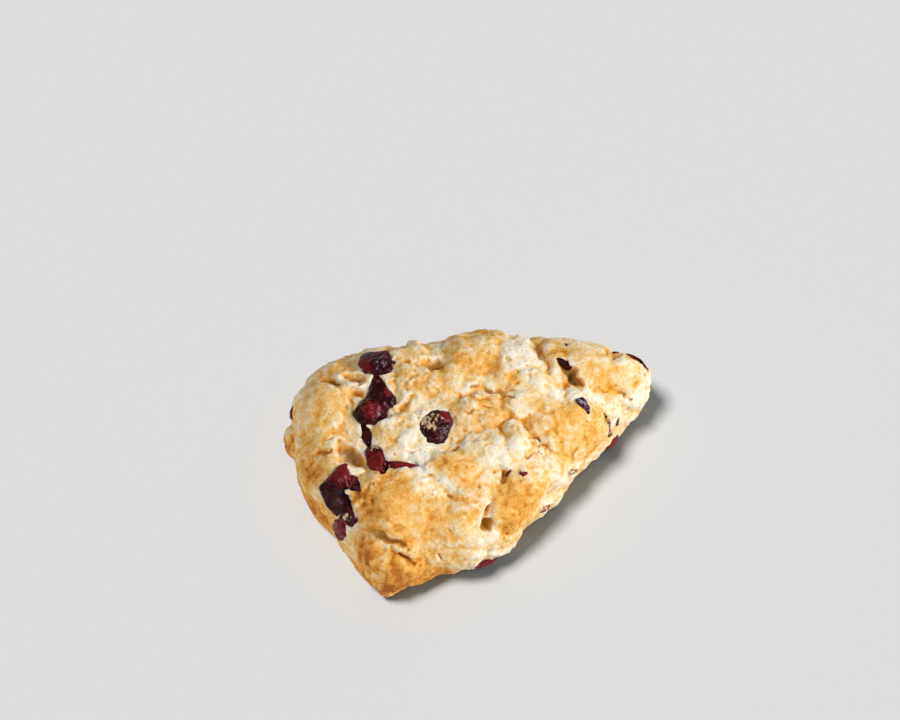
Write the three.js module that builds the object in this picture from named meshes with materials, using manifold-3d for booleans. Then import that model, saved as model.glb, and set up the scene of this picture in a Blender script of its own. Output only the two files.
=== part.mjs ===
// A baked fruit scone: one wedge cut from a round of sweet dough, with dried cranberries in it.
//
// Frame: millimetres, +Z up, +X towards the wedge's tip, +Y towards its longer cut side.
// Origin: the middle of the flat underside, on the surface the scone rests on.
//
// The dough is one solid. Its surface is where a signed depth is zero: a plain wedge, raised by
// lumps, lowered by hollows and roughened by a crumbly grain. Each cranberry is a solid of its own
// that sits in a pocket in the dough.

import * as THREE from "three";
import { edgeTable, triTable } from "three/addons/objects/MarchingCubes.js";
import { mergeVertices } from "three/addons/utils/BufferGeometryUtils.js";
import Module from "manifold-3d";

// ---- Driving dimensions ----

const CROWN = 29.5; // height of the plain wedge's top over the origin
const CROWN_TILT = 0.05; // rise of the top for each millimetre towards the longer cut side
const CROWN_FALL = { lengthwise: 3.2, across: 2.2 }; // how far the top drops by its edges
const CROWN_REACH = { lengthwise: 57, across: 34 }; // where it has dropped that far
const CROWN_CENTRE = { x: -4, y: 2 };
const BROW = 9; // radius between the top and the sides
const FOOT = 1.5; // radius between the sides and the underside
const WAIST = 9; // height at which the sides stand furthest out
const SIDE_DRAFT = 4.5; // how far the sides lean in over the 20 mm above the waist
const FOOT_TUCK = 2.2; // how far they tuck in between the waist and the underside
const CELL = 3.05; // size of the facets
const GAP = 0.35; // room between a cranberry and its pocket

// The wedge seen from above: the tip, the longer cut side, the baked rim, the shorter cut side.
const OUTLINE = [
  [56.6, 1], [53, 7.8], [45.1, 11.5], [36.7, 15.8], [24.5, 24.8], [8.2, 31.6], [-10, 35.6],
  [-27, 39.2], [-39.3, 36.1], [-49.7, 30.3], [-55, 17], [-56.1, 1], [-52.6, -10.8],
  [-49.8, -20.9], [-47.1, -29.6], [-44.5, -34.7], [-38.7, -34.8], [-27, -33.6], [-16, -36.8],
  [-3.7, -33.3], [10.3, -27.7], [28.2, -17.5], [43.1, -10.5], [51.7, -5.1],
];
const OUTLINE_STEPS = 5; // straight pieces between two of its points

// Lumps of dough that swelled over their neighbours. Each one is an upturned bowl laid on the plain
// wedge: where it lies, half its length and width, its turn in degrees, how far it rises, and how
// round its edge is, from 0 for a step to 1 for a gentle dome.
const LUMPS = [
  // the baked rim
  { at: [-45, 21.5, 27], half: [10, 10], turn: 0, rise: 4.2, edge: 0.35 },
  { at: [-38, 35, 21], half: [11, 8], turn: -55, rise: 2.5, edge: 0.6 },
  { at: [-35.4, 27.8, 28], half: [4.5, 1.6], turn: -69, rise: 2.4, edge: 0.6 },
  { at: [-31.4, 22.7, 29], half: [4, 1.4], turn: -33, rise: 2, edge: 0.6 },
  { at: [-49, 10, 25], half: [12, 9], turn: -45, rise: 1.8, edge: 0.7 },
  { at: [-55, 20, 12], half: [7, 5], turn: -45, rise: 3.2, edge: 0.5 },
  { at: [-55, -2, 18], half: [15, 12], turn: -55, rise: 1.4, edge: 0.7 },
  // the top along the longer cut side
  { at: [-15, 27, 27], half: [9, 7], turn: 15, rise: 2.2, edge: 0.6 },
  { at: [-9, 32, 23], half: [5, 3], turn: 80, rise: 3, edge: 0.5 },
  { at: [8, 23, 26], half: [14, 10], turn: 55, rise: 3.6, edge: 0.5 },
  { at: [18, 15, 28], half: [10, 7], turn: 65, rise: 3.4, edge: 0.5 },
  { at: [20, 21, 25], half: [5, 4], turn: 60, rise: 2, edge: 0.5 },
  { at: [29.5, 20.5, 23], half: [5, 5], turn: 60, rise: 2.6, edge: 0.5 },
  { at: [36, 10, 26], half: [13, 12], turn: 70, rise: 5, edge: 0.45 },
  // the middle of the top
  { at: [-27, 2, 29], half: [9, 7], turn: 50, rise: 3.6, edge: 0.45 },
  { at: [-17, 13, 30], half: [6, 5], turn: -50, rise: 2.2, edge: 0.6 },
  { at: [-12, 17, 30], half: [9, 6], turn: -20, rise: 3, edge: 0.5 },
  { at: [-1, 14, 30], half: [8, 5], turn: -20, rise: 3, edge: 0.5 },
  { at: [9, 10, 29], half: [6, 5], turn: -10, rise: 2.2, edge: 0.5 },
  { at: [18, 5, 29], half: [7, 6], turn: -50, rise: 3, edge: 0.5 },
  { at: [13, -2, 29], half: [7, 5], turn: -20, rise: 3.6, edge: 0.5 },
  { at: [1, 1, 29], half: [10, 7], turn: -20, rise: 2.8, edge: 0.6 },
  { at: [-3, -12, 29], half: [10, 7], turn: -5, rise: 3.4, edge: 0.6 },
  { at: [7, -11, 28], half: [6, 5], turn: 75, rise: 4.6, edge: 0.35 },
  { at: [-15, -14, 28], half: [9, 7], turn: -20, rise: 4.2, edge: 0.45 },
  { at: [-13, -22, 27], half: [7, 4], turn: -20, rise: 2.4, edge: 0.6 },
  // the tip
  { at: [48.3, 0, 24], half: [9.4, 7], turn: -15, rise: 3.4, edge: 0.5 },
  { at: [50, -6, 17], half: [11, 5], turn: -30, rise: 2.2, edge: 0.6 },
  { at: [30, -4, 28], half: [9, 4], turn: -30, rise: 2.4, edge: 0.6 },
  { at: [25, -12, 25], half: [15, 9], turn: -35, rise: 4, edge: 0.5 },
  // the top along the shorter cut side
  { at: [-33, -17, 27], half: [14, 13], turn: -25, rise: 5, edge: 0.45 },
  { at: [-22, -26, 25], half: [10, 8], turn: -20, rise: 3.4, edge: 0.6 },
  { at: [-16, -26, 25], half: [5, 3], turn: 0, rise: 4.4, edge: 0.4 },
  { at: [0, -28, 22], half: [10, 8], turn: 45, rise: 3.8, edge: 0.5 },
  { at: [6, -24, 24], half: [8, 5], turn: -25, rise: 3.6, edge: 0.5 },
  { at: [18, -22, 20], half: [13, 7], turn: -25, rise: 2.2, edge: 0.6 },
  // the face of the shorter cut side
  { at: [-6, -33, 12], half: [10, 7], turn: -45, rise: 2.4, edge: 0.6 },
  { at: [-21, -33, 16], half: [12, 10], turn: 85, rise: 2.4, edge: 0.7 },
  // the corner where that side meets the rim
  { at: [-40, -33.6, 15], half: [9, 5], turn: 75, rise: 2.2, edge: 0.6 },
  { at: [-46, -27, 20], half: [7, 5], turn: -55, rise: 2.6, edge: 0.5 },
  { at: [-36, -30, 22], half: [6, 3], turn: -40, rise: 3.4, edge: 0.45 },
  { at: [-32, -34, 10], half: [13, 6], turn: -35, rise: 1.8, edge: 0.6 },
  // the face of the longer cut side
  { at: [-26, 37, 11], half: [12, 8], turn: 10, rise: 2.2, edge: 0.6 },
  { at: [-4, 33, 12], half: [9, 7], turn: 60, rise: 1.8, edge: 0.6 },
  { at: [13, 27, 12], half: [12, 7], turn: -10, rise: 2.2, edge: 0.6 },
  { at: [33, 17, 12], half: [10, 7], turn: 20, rise: 1.8, edge: 0.6 },
];

// Hollows, cracks and torn holes between the lumps, stated in the same way.
const HOLLOWS = [
  { at: [-41, 2.2, 28], half: [7, 3.8], turn: -60, depth: 3.6, edge: 1.5 }, // behind the rim
  { at: [-48, 6, 26], half: [3.5, 1.2], turn: -25, depth: 1.6, edge: 1.2 },
  { at: [-31.5, 25.5, 29], half: [5.5, 2.6], turn: -48, depth: 2.6, edge: 1.5 },
  { at: [-32.2, 20.2, 29], half: [3.2, 2.2], turn: 85, depth: 2.4, edge: 1.5 },
  { at: [-37.8, 28, 28], half: [5.5, 1.4], turn: -50, depth: 1.8, edge: 1.3 },
  { at: [-35, 18, 29], half: [5, 1.4], turn: 80, depth: 1.6, edge: 1.3 },
  { at: [-20, 11, 29], half: [3, 2], turn: 10, depth: 2, edge: 1.2 },
  { at: [-7.5, 21, 30], half: [6, 2.2], turn: -30, depth: 2.6, edge: 1.4 },
  { at: [23, 14.5, 27], half: [6.5, 2.6], turn: 62, depth: 3.2, edge: 1.5 }, // cleft beside the tip's slab
  { at: [31.2, 3, 28], half: [8.4, 2.4], turn: -73, depth: 3.4, edge: 1.7 }, // deep slit
  { at: [29.4, 2.6, 28], half: [8, 4.4], turn: -73, depth: 1.3, edge: 1.3 },
  { at: [0, -20, 27], half: [3, 1.6], turn: 30, depth: 2.6, edge: 1 },
  { at: [-11, -30.5, 21], half: [2.4, 2.2], turn: -60, depth: 6, edge: 0.6 }, // torn hole
  { at: [-10, -28, 24], half: [3, 1.3], turn: 60, depth: 2.2, edge: 1 },
  { at: [-41, -25.4, 24.5], half: [8, 1.6], turn: -50, depth: 3, edge: 1.2 },
  { at: [-36.5, -33.4, 20], half: [4.5, 1.1], turn: -58, depth: 2.2, edge: 1 },
  { at: [46.6, 9.8, 22], half: [5, 2.2], turn: 85, depth: 4.2, edge: 1 },
];
const LUMP_DEPTH = 1.3; // how deep a lump's own shape goes, in its half lengths
const HOLLOW_DEPTH = 1.5;
const LUMP_BLEND = 0.8; // how softly two lumps meet
const WOBBLE = { size: 7, reach: 1.3 }; // how the lumps' edges wander
const GRAIN = [
  { size: 9, height: 0.8 },
  { size: 5, height: 0.7 },
];

// Dried cranberries: where each one shows, half its thickness, how far its middle lies under the
// skin of the dough, and its outline on that skin, counter-clockwise round its middle.
const BERRIES = [
  {
    name: "cranberry_fold", at: [-23, 27.9, 29], thick: 4, sink: 2.2,
    outline: [[-4, -3.2], [0, -6.2], [3.5, -6.2], [6, -2], [5.5, 3.2], [1.5, 6], [-3.5, 6.2], [-6, 3]],
  },
  {
    name: "cranberry_arrow", at: [-27, 17.5, 29], thick: 4.6, sink: 2.6,
    outline: [[-5.5, -1], [-1, -7.5], [4.5, -8.5], [6, -4.5], [5, 3.5], [3, 9], [-2, 4]],
  },
  {
    name: "cranberry_fist", at: [-31, 13, 29], thick: 4.4, sink: 0.8,
    outline: [[-5, -2.5], [-1.5, -5.5], [4.5, -4.5], [5.5, 0], [4, 3.5], [0, 5.5], [-5.5, 1.5]],
  },
  {
    name: "cranberry_fist_tail", at: [-34.2, 7, 28.5], thick: 2.2, sink: 0.9,
    outline: [[-1.6, -4.8], [0, -4.2], [1.6, -0.8], [2.4, 2.2], [-1, 5], [-2.2, 0]],
  },
  {
    name: "cranberry_island", at: [-34, -3, 29], thick: 3.6, sink: 1.6,
    outline: [[-3, -3], [-0.5, -6], [3.5, -3.5], [3, 0], [2, 4], [0.5, 6], [-2, 6], [-3.5, 2.5]],
  },
  {
    name: "cranberry_island_tail", at: [-28, -7.5, 31], thick: 1.6, sink: 0.8,
    outline: [[-4, -0.5], [2, -2.5], [5, -2.5], [0, 1], [-3.5, 2.5]],
  },
  {
    name: "cranberry_round", at: [-14, 0.5, 29], thick: 5, sink: 2.2,
    outline: [[-5, -4.5], [-1.5, -7], [2, -6], [5.5, -1], [5.5, 4], [1.5, 6.5], [-4, 4.5], [-6, 0]],
  },
  {
    name: "cranberry_rim_slab", at: [-48.5, -7, 25.5], thick: 3.6, sink: 1.2,
    outline: [[-6, -0.5], [-4.5, -7], [1.5, -7], [4, -2.5], [5.5, 3.5], [6, 7], [-0.5, 6.5], [-6, 5]],
  },
  {
    name: "cranberry_rim_inner", at: [-44, -7.5, 27.5], thick: 3, sink: 1.2,
    outline: [[-3, -0.5], [0.5, -3.5], [2.5, -3], [3, 0], [2, 3.5], [-2, 3.5]],
  },
  {
    name: "cranberry_rim_lower", at: [-48.5, -14.5, 23], thick: 2.8, sink: 1,
    outline: [[-3, -0.5], [0, -3.5], [3, -3], [4, 0], [3.5, 3.5], [-4, 1]],
  },
  {
    name: "cranberry_rim_foot", at: [-51, -15, 17.5], thick: 2.6, sink: 1,
    outline: [[-5, -1.5], [-3.5, -3], [0.5, -3], [5, -1], [5.5, 2], [1.5, 3], [-3.5, 3]],
  },
  {
    name: "cranberry_rim_side", at: [-52, 28, 16], thick: 2.4, sink: 1.1,
    outline: [[-3.5, 0], [-1.5, -2.5], [2, -2.5], [3.5, 0], [2, 2.5], [-1.5, 2.5]],
  },
  {
    name: "cranberry_slit", at: [29.6, 6.6, 27.5], thick: 2, sink: 1,
    outline: [[0.2, -2.1], [1.9, -2.6], [2.5, -0.6], [-0.9, 2.6], [-2.2, 2.5], [-1.4, 0.5]],
  },
  {
    name: "cranberry_speck", at: [34, 13.5, 28.5], thick: 1, sink: 0.4,
    outline: [[-0.8, -1], [0.7, -0.7], [0.8, 0.8], [-0.6, 1]],
  },
  {
    name: "cranberry_hook", at: [30.8, -8.4, 28.3], thick: 1.3, sink: 0.5,
    outline: [[-0.6, -2.6], [0.7, -3.8], [1.6, -0.3], [0.6, 3], [-2.4, 2.9], [-1.3, 0]],
  },
  {
    name: "cranberry_tip", at: [51, 6, 23.5], thick: 3, sink: 1.6,
    outline: [[3.2, -8.6], [5.6, -6.6], [3.4, -1], [-2, 4], [-7.4, 6], [-8.2, 4.7], [-3, 0.2], [1, -5.4]],
  },
  {
    name: "cranberry_streak", at: [37.6, -12.1, 18.2], thick: 1.1, sink: 0.6,
    outline: [[1.4, -5.4], [2.9, -6.8], [2.5, -4], [-1, 4.8], [-2.8, 6.8], [-2.5, 4.2]],
  },
  {
    name: "cranberry_streak_small", at: [41.2, -10.1, 14.9], thick: 0.9, sink: 0.5,
    outline: [[0.6, -2.6], [1.6, -2.9], [0.2, 1.8], [-1.5, 2.9], [-1.1, 0.4]],
  },
  {
    name: "cranberry_tip_foot", at: [39, -12, 4.6], thick: 2.2, sink: 0.7,
    outline: [[-4, -1.6], [-2, -2.8], [3, -1.6], [4, 1.2], [0, 2.4], [-3.5, 1.4]],
  },
  {
    name: "cranberry_near", at: [9.7, -27.7, 11.8], thick: 1.4, sink: 0.9,
    outline: [[-3.7, -0.8], [1.4, -2.8], [3.7, -1], [3, 0.9], [-0.6, 2.2], [-3, 1.2]],
  },
  {
    name: "cranberry_near_foot", at: [-12, -34, 6.4], thick: 2.8, sink: 0.7,
    outline: [[-5.5, -0.5], [-3, -2.6], [3, -2.4], [5.5, 0], [3.5, 2.6], [-3.5, 2.4]],
  },
  {
    name: "cranberry_dot", at: [5.1, -22.2, 27.8], thick: 1.1, sink: 0.4,
    outline: [[-0.5, -1.2], [1.4, -0.8], [1.2, 0.5], [-0.4, 1.2], [-1.4, 0.3]],
  },
  {
    name: "cranberry_crevice", at: [1.3, -19.8, 26.4], thick: 1.2, sink: 0.1,
    outline: [[-1.4, -0.9], [-0.5, -1.2], [1.4, 0.4], [1.4, 1.2], [-0.2, 0.8]],
  },
  {
    name: "cranberry_sliver", at: [21, -22.1, 17.4], thick: 0.9, sink: 0.4,
    outline: [[-3.2, 0.6], [-0.8, -0.7], [2.6, -1.1], [3.3, -0.3], [0, 0.8], [-2.6, 1.2]],
  },
  {
    name: "cranberry_far_rim", at: [-22, 37, 10], thick: 3, sink: 2,
    outline: [[-5, -1], [-2, -3.4], [3, -3], [5, 0], [2.5, 3.4], [-3, 3]],
  },
  {
    name: "cranberry_far_middle", at: [10, 29, 15], thick: 3, sink: 1.2,
    outline: [[-4, 0], [-1.5, -3], [3, -2.5], [4.2, 0.5], [1.5, 3], [-2.5, 2.5]],
  },
  {
    name: "cranberry_far_tip", at: [37, 15, 9], thick: 2.6, sink: 1.1,
    outline: [[-3.8, -0.5], [-1, -2.6], [3, -2], [3.8, 1], [0.5, 2.6], [-3, 2]],
  },
];
const LARGE_BERRY = 5.3; // from this reach on, a cranberry has the finer facets
const SIDE_EDGE = 14; // how sharply a cranberry's flat sides meet each other
const TOP_EDGE = 2.4; // how sharply they meet its top and bottom
const PLEAT = { size: 0.8, depth: 0.14 }; // its dried folds, as shares of its size

const DOUGH_FINISH = { color: "#dcae6c", roughness: 0.85, metalness: 0 };
const BERRY_FINISH = { color: "#521019", roughness: 0.35, metalness: 0 };

const wasm = await Module();
wasm.setup();

// ---- Small helpers ----

// Values that wander between -1 and 1 from cell to cell of a lattice of the given size.
function lattice(i, j, k, seed) {
  const s = Math.sin(i * 127.1 + j * 311.7 + k * 74.7 + seed * 53.3) * 43758.5453;
  return s - Math.floor(s);
}

function noise(p, size, seed) {
  const cell = [p.x, p.y, p.z].map((value) => value / size + 50.5);
  const low = cell.map(Math.floor);
  const part = cell.map((value, axis) => value - low[axis]).map((t) => t * t * (3 - 2 * t));
  let sum = 0;
  for (let corner = 0; corner < 8; corner++) {
    const step = [corner & 1, (corner >> 1) & 1, (corner >> 2) & 1];
    const weight = step.reduce((w, s, axis) => w * (s ? part[axis] : 1 - part[axis]), 1);
    sum += weight * lattice(low[0] + step[0], low[1] + step[1], low[2] + step[2], seed);
  }
  return 2 * sum - 1;
}

// The inside of both a and b, with the edge between them rounded to the radius.
function roundedEdge(a, b, radius) {
  const corner = Math.hypot(Math.max(a + radius, 0), Math.max(b + radius, 0));
  return Math.min(-radius, Math.max(a, b)) + corner;
}

// The higher of two heights, blended where they are close.
function softMax(a, b, blend) {
  const near = Math.max(blend - Math.abs(a - b), 0) / blend;
  return Math.max(a, b) + (near * near * blend) / 4;
}

// ---- The plain wedge ----

const outlineCurve = new THREE.CatmullRomCurve3(
  OUTLINE.map(([x, y]) => new THREE.Vector3(x, y, 0)),
  true,
  "catmullrom",
);
const outline = outlineCurve.getPoints(OUTLINE.length * OUTLINE_STEPS).slice(0, -1);

// Distance to the outline in plan, negative inside it.
function outlineDistance(x, y) {
  let nearest = Infinity;
  let inside = false;
  outline.forEach((start, index) => {
    const end = outline[(index + 1) % outline.length];
    const [ex, ey] = [end.x - start.x, end.y - start.y];
    const [wx, wy] = [x - start.x, y - start.y];
    const along = THREE.MathUtils.clamp((wx * ex + wy * ey) / (ex * ex + ey * ey), 0, 1);
    nearest = Math.min(nearest, Math.hypot(wx - along * ex, wy - along * ey));
    if (start.y <= y !== end.y <= y && wx < (ex * wy) / ey) inside = !inside;
  });
  return inside ? -nearest : nearest;
}

function crownHeight(x, y) {
  const lengthwise = (x - CROWN_CENTRE.x) / CROWN_REACH.lengthwise;
  const across = (y - CROWN_CENTRE.y) / CROWN_REACH.across;
  return (
    CROWN + CROWN_TILT * y - CROWN_FALL.lengthwise * lengthwise ** 2 - CROWN_FALL.across * across ** 2
  );
}

function wedgeDepth(p) {
  const lean = SIDE_DRAFT * (Math.max(p.z - WAIST, 0) / 20) ** 2;
  const tuck = FOOT_TUCK * (Math.max(WAIST - p.z, 0) / WAIST) ** 2;
  const side = outlineDistance(p.x, p.y) + lean + tuck;
  return roundedEdge(side, p.z - crownHeight(p.x, p.y), BROW);
}

// ---- Seats: places on a skin, each with the turn that lays a shape on it ----

function slope(p, depth) {
  const step = 0.5;
  const difference = (axis) => {
    const ahead = p.clone().setComponent(axis, p.getComponent(axis) + step);
    const behind = p.clone().setComponent(axis, p.getComponent(axis) - step);
    return (depth(ahead) - depth(behind)) / (2 * step);
  };
  return new THREE.Vector3(difference(0), difference(1), difference(2));
}

function seatOn(depth, at, turnDegrees) {
  const place = new THREE.Vector3(...at);
  let out = slope(place, depth);
  for (let pass = 0; pass < 8; pass++) {
    place.addScaledVector(out, -depth(place) / out.lengthSq());
    out = slope(place, depth);
  }
  out.normalize();
  const up = new THREE.Vector3(0, 0, 1);
  const tip = new THREE.Quaternion().setFromUnitVectors(up, out);
  const turn = new THREE.Quaternion().setFromAxisAngle(up, THREE.MathUtils.degToRad(turnDegrees));
  return { place, out, turn: tip.multiply(turn) };
}

// ---- Lumps, hollows and grain ----

function bowlOn({ at, half: [long, wide], turn, edge }, height, depthRatio) {
  const seat = seatOn(wedgeDepth, at, turn);
  const deep = depthRatio * Math.max(long, wide);
  return {
    centre: seat.place,
    toBowl: seat.turn.invert(),
    half: new THREE.Vector3(long, wide, deep),
    height,
    edge,
  };
}

function bowlHeight(bowl, p) {
  const local = p.clone().sub(bowl.centre).applyQuaternion(bowl.toBowl).divide(bowl.half);
  return bowl.height * Math.max(1 - local.lengthSq(), 0) ** bowl.edge;
}

const lumps = LUMPS.map((lump) => bowlOn(lump, lump.rise, LUMP_DEPTH));
const hollows = HOLLOWS.map((hollow) => bowlOn(hollow, hollow.depth, HOLLOW_DEPTH));

function reliefHeight(p) {
  const wander = [1, 2, 3].map((seed) => WOBBLE.reach * noise(p, WOBBLE.size, seed));
  const q = new THREE.Vector3(...wander).add(p);
  const raised = lumps.reduce((height, lump) => softMax(height, bowlHeight(lump, q), LUMP_BLEND), 0);
  return hollows.reduce((height, hollow) => height - bowlHeight(hollow, q), raised);
}

function doughDepth(p) {
  const grain = GRAIN.reduce((sum, { size, height }, i) => sum + height * noise(p, size, 10 + i), 0);
  return roundedEdge(wedgeDepth(p) - reliefHeight(p) + grain, -p.z, FOOT);
}

// ---- Faceting ----

// The corners of a cell and the edges between them, in the order that the tables count them.
const CELL_CORNERS = [
  [0, 0, 0], [1, 0, 0], [1, 1, 0], [0, 1, 0], [0, 0, 1], [1, 0, 1], [1, 1, 1], [0, 1, 1],
];
const CELL_EDGES = [
  [0, 1], [1, 2], [3, 2], [0, 3], [4, 5], [5, 6], [7, 6], [4, 7], [0, 4], [1, 5], [2, 6], [3, 7],
];
const CLEAR_OF_CORNER = 0.08; // keeps facets from shrinking to slivers at the cells' corners

function facet(depth, low, high) {
  const counts = [0, 1, 2].map((axis) => Math.ceil((high[axis] - low[axis]) / CELL) + 1);
  const pointAt = (i, j, k) =>
    new THREE.Vector3(low[0] + i * CELL, low[1] + j * CELL, low[2] + k * CELL);
  const indexOf = (i, j, k) => (i * counts[1] + j) * counts[2] + k;
  const values = new Float64Array(counts[0] * counts[1] * counts[2]);
  for (let i = 0; i < counts[0]; i++)
    for (let j = 0; j < counts[1]; j++)
      for (let k = 0; k < counts[2]; k++) {
        const value = depth(pointAt(i, j, k));
        const least = CLEAR_OF_CORNER * CELL;
        values[indexOf(i, j, k)] = value < 0 ? Math.min(value, -least) : Math.max(value, least);
      }
  const positions = [];
  for (let i = 0; i < counts[0] - 1; i++)
    for (let j = 0; j < counts[1] - 1; j++)
      for (let k = 0; k < counts[2] - 1; k++) {
        const corners = CELL_CORNERS.map(([a, b, c]) => [i + a, j + b, k + c]);
        const depths = corners.map((corner) => values[indexOf(...corner)]);
        const cube = depths.reduce((bits, value, n) => bits | (value < 0 ? 1 << n : 0), 0);
        const crossings = CELL_EDGES.map(([a, b], n) =>
          edgeTable[cube] & (1 << n)
            ? pointAt(...corners[a]).lerp(pointAt(...corners[b]), depths[a] / (depths[a] - depths[b]))
            : null,
        );
        for (let t = cube * 16; triTable[t] !== -1; t += 3)
          for (const n of [0, 2, 1]) positions.push(...crossings[triTable[t + n]].toArray());
      }
  return new THREE.BufferGeometry().setAttribute(
    "position",
    new THREE.Float32BufferAttribute(positions, 3),
  );
}

// ---- Solids ----

function toSolid(geometry) {
  geometry.deleteAttribute("normal");
  geometry.deleteAttribute("uv");
  const merged = mergeVertices(geometry, 1e-3);
  return new wasm.Manifold(
    new wasm.Mesh({
      numProp: 3,
      vertProperties: merged.attributes.position.array,
      triVerts: new Uint32Array(merged.index.array),
    }),
  );
}

function toGeometry(solid) {
  const { vertProperties, triVerts } = solid.getMesh();
  const geometry = new THREE.BufferGeometry();
  geometry.setAttribute("position", new THREE.BufferAttribute(vertProperties, 3));
  geometry.setIndex(new THREE.BufferAttribute(triVerts, 1));
  geometry.computeVertexNormals();
  return geometry;
}

// ---- Cranberries ----

// The sides of a cranberry's outline, each with the way it faces and how far out it is.
function outlineSides(outline) {
  return outline.map(([x, y], n) => {
    const [nextX, nextY] = outline[(n + 1) % outline.length];
    const out = new THREE.Vector3(nextY - y, x - nextX, 0).normalize();
    return { out, far: out.x * x + out.y * y };
  });
}

// How far a cranberry's skin is from its middle in a direction, with room added on every side.
function berryReach(sides, thick, direction, seed, room) {
  const across = sides.map(({ out, far }) => Math.max(direction.dot(out) / (far + room), 0));
  const flank = across.reduce((sum, share) => sum + share ** SIDE_EDGE, 0) ** (1 / SIDE_EDGE);
  const top = Math.abs(direction.z) / (thick + room);
  const bulk = (flank ** TOP_EDGE + top ** TOP_EDGE) ** (-1 / TOP_EDGE);
  return bulk * (1 + PLEAT.depth * noise(direction, PLEAT.size, seed));
}

// The place on the dough over a seat on the plain wedge.
function seatOnDough(at) {
  const seat = seatOn(wedgeDepth, at, 0);
  for (let pass = 0; pass < 8; pass++) seat.place.addScaledVector(seat.out, -doughDepth(seat.place));
  return seat;
}

// A cranberry's shape, grown on every side by the room that its pocket leaves round it.
function berryGeometry({ at, thick, sink, outline }, seed, room) {
  const tip = outline.reduce((far, corner) => (Math.hypot(...corner) > Math.hypot(...far) ? corner : far));
  const long = Math.hypot(...tip);
  const wide = Math.max(...outline.map(([x, y]) => Math.abs(tip[0] * y - tip[1] * x) / long));
  const lengthwise = Math.atan2(tip[1], tip[0]);
  const geometry = new THREE.IcosahedronGeometry(1, long < LARGE_BERRY ? 1 : 2);
  geometry.scale(long, wide, thick).rotateZ(lengthwise);
  const places = geometry.attributes.position;
  const sides = outlineSides(outline);
  const direction = new THREE.Vector3();
  for (let n = 0; n < places.count; n++) {
    direction.fromBufferAttribute(places, n).normalize();
    direction.multiplyScalar(berryReach(sides, thick, direction, seed, room));
    places.setXYZ(n, ...direction.toArray());
  }
  const seat = seatOnDough(at);
  const middle = seat.place.addScaledVector(seat.out, -sink);
  return geometry.applyMatrix4(new THREE.Matrix4().compose(middle, seat.turn, new THREE.Vector3(1, 1, 1)));
}

const berrySolids = BERRIES.map((berry, n) => toSolid(berryGeometry(berry, 30 + n, 0)));
const pocketSolids = BERRIES.map((berry, n) => toSolid(berryGeometry(berry, 30 + n, GAP)));

// Where two cranberries are pressed together, the one further on in the list dents the other.
const dentedBerries = berrySolids.map((solid, n) =>
  pocketSolids.slice(n + 1).reduce((rest, pocket) => rest.subtract(pocket), solid),
);

// ---- The dough ----

const corner = new THREE.Vector3(62, 43, 38);
const plainDough = toSolid(
  facet(doughDepth, [-corner.x, -corner.y, -1.5 * CELL], [corner.x, corner.y, corner.z]),
);
const dough = pocketSolids.reduce((rest, pocket) => rest.subtract(pocket), plainDough);

// ---- Assembly ----

const scone = new THREE.Group();
scone.name = "fruit_scone";

function addPart(name, solid, finish) {
  const mesh = new THREE.Mesh(toGeometry(solid), new THREE.MeshStandardMaterial(finish));
  mesh.name = name;
  scone.add(mesh);
}

addPart("dough", dough, DOUGH_FINISH);
BERRIES.forEach((berry, n) => addPart(berry.name, dentedBerries[n], BERRY_FINISH));

export default scone;
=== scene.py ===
import math

import bpy
import numpy as np
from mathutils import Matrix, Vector


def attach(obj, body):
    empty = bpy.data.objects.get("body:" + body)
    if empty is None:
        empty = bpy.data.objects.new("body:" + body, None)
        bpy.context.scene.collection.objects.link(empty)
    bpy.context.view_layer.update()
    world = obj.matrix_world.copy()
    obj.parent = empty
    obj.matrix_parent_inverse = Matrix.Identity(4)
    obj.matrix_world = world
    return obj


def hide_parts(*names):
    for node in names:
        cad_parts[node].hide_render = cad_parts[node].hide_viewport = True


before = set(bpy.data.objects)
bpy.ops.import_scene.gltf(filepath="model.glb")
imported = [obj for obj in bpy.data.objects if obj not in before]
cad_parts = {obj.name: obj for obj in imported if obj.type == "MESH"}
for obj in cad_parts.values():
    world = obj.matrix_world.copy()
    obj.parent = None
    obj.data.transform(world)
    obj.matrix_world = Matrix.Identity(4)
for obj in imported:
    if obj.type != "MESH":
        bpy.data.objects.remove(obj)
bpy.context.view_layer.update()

# ------------------------------------------------------------------------------------------------
# The dough: a wedge cut from a round of soft scone dough and baked on a tray. It swells into lumps
# that crack apart and brown on top, while the cut sides and the cracks between them stay pale.

# Lengths in this section and the next three are millimetres, with +X towards the tip and +Z up.

# The plain wedge: how high its crown is and how that tilts and falls away, how round its upper and
# lower edges are, and how its sides lean in above the waist and tuck under below it.
CROWN = 29.5
CROWN_TILT = 0.05
CROWN_FALL = (3.2, 2.2)
CROWN_REACH = (57, 34)
CROWN_CENTRE = (-4, 2)
BROW = 9
FOOT = 1.5
WAIST = 9
SIDE_LEAN, LEAN_HEIGHT = 4.5, 20
FOOT_TUCK = 2.2

# The wedge seen from above: the tip, the longer cut side, the baked rim, the shorter cut side.
OUTLINE = (
    (56.6, 1), (53, 7.8), (45.1, 11.5), (36.7, 15.8), (24.5, 24.8), (8.2, 31.6), (-10, 35.6),
    (-27, 39.2), (-39.3, 36.1), (-49.7, 30.3), (-55, 17), (-56.1, 1), (-52.6, -10.8), (-49.8, -20.9),
    (-47.1, -29.6), (-44.5, -34.7), (-38.7, -34.8), (-27, -33.6), (-16, -36.8), (-3.7, -33.3),
    (10.3, -27.7), (28.2, -17.5), (43.1, -10.5), (51.7, -5.1),
)
OUTLINE_STEPS = 5

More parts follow.
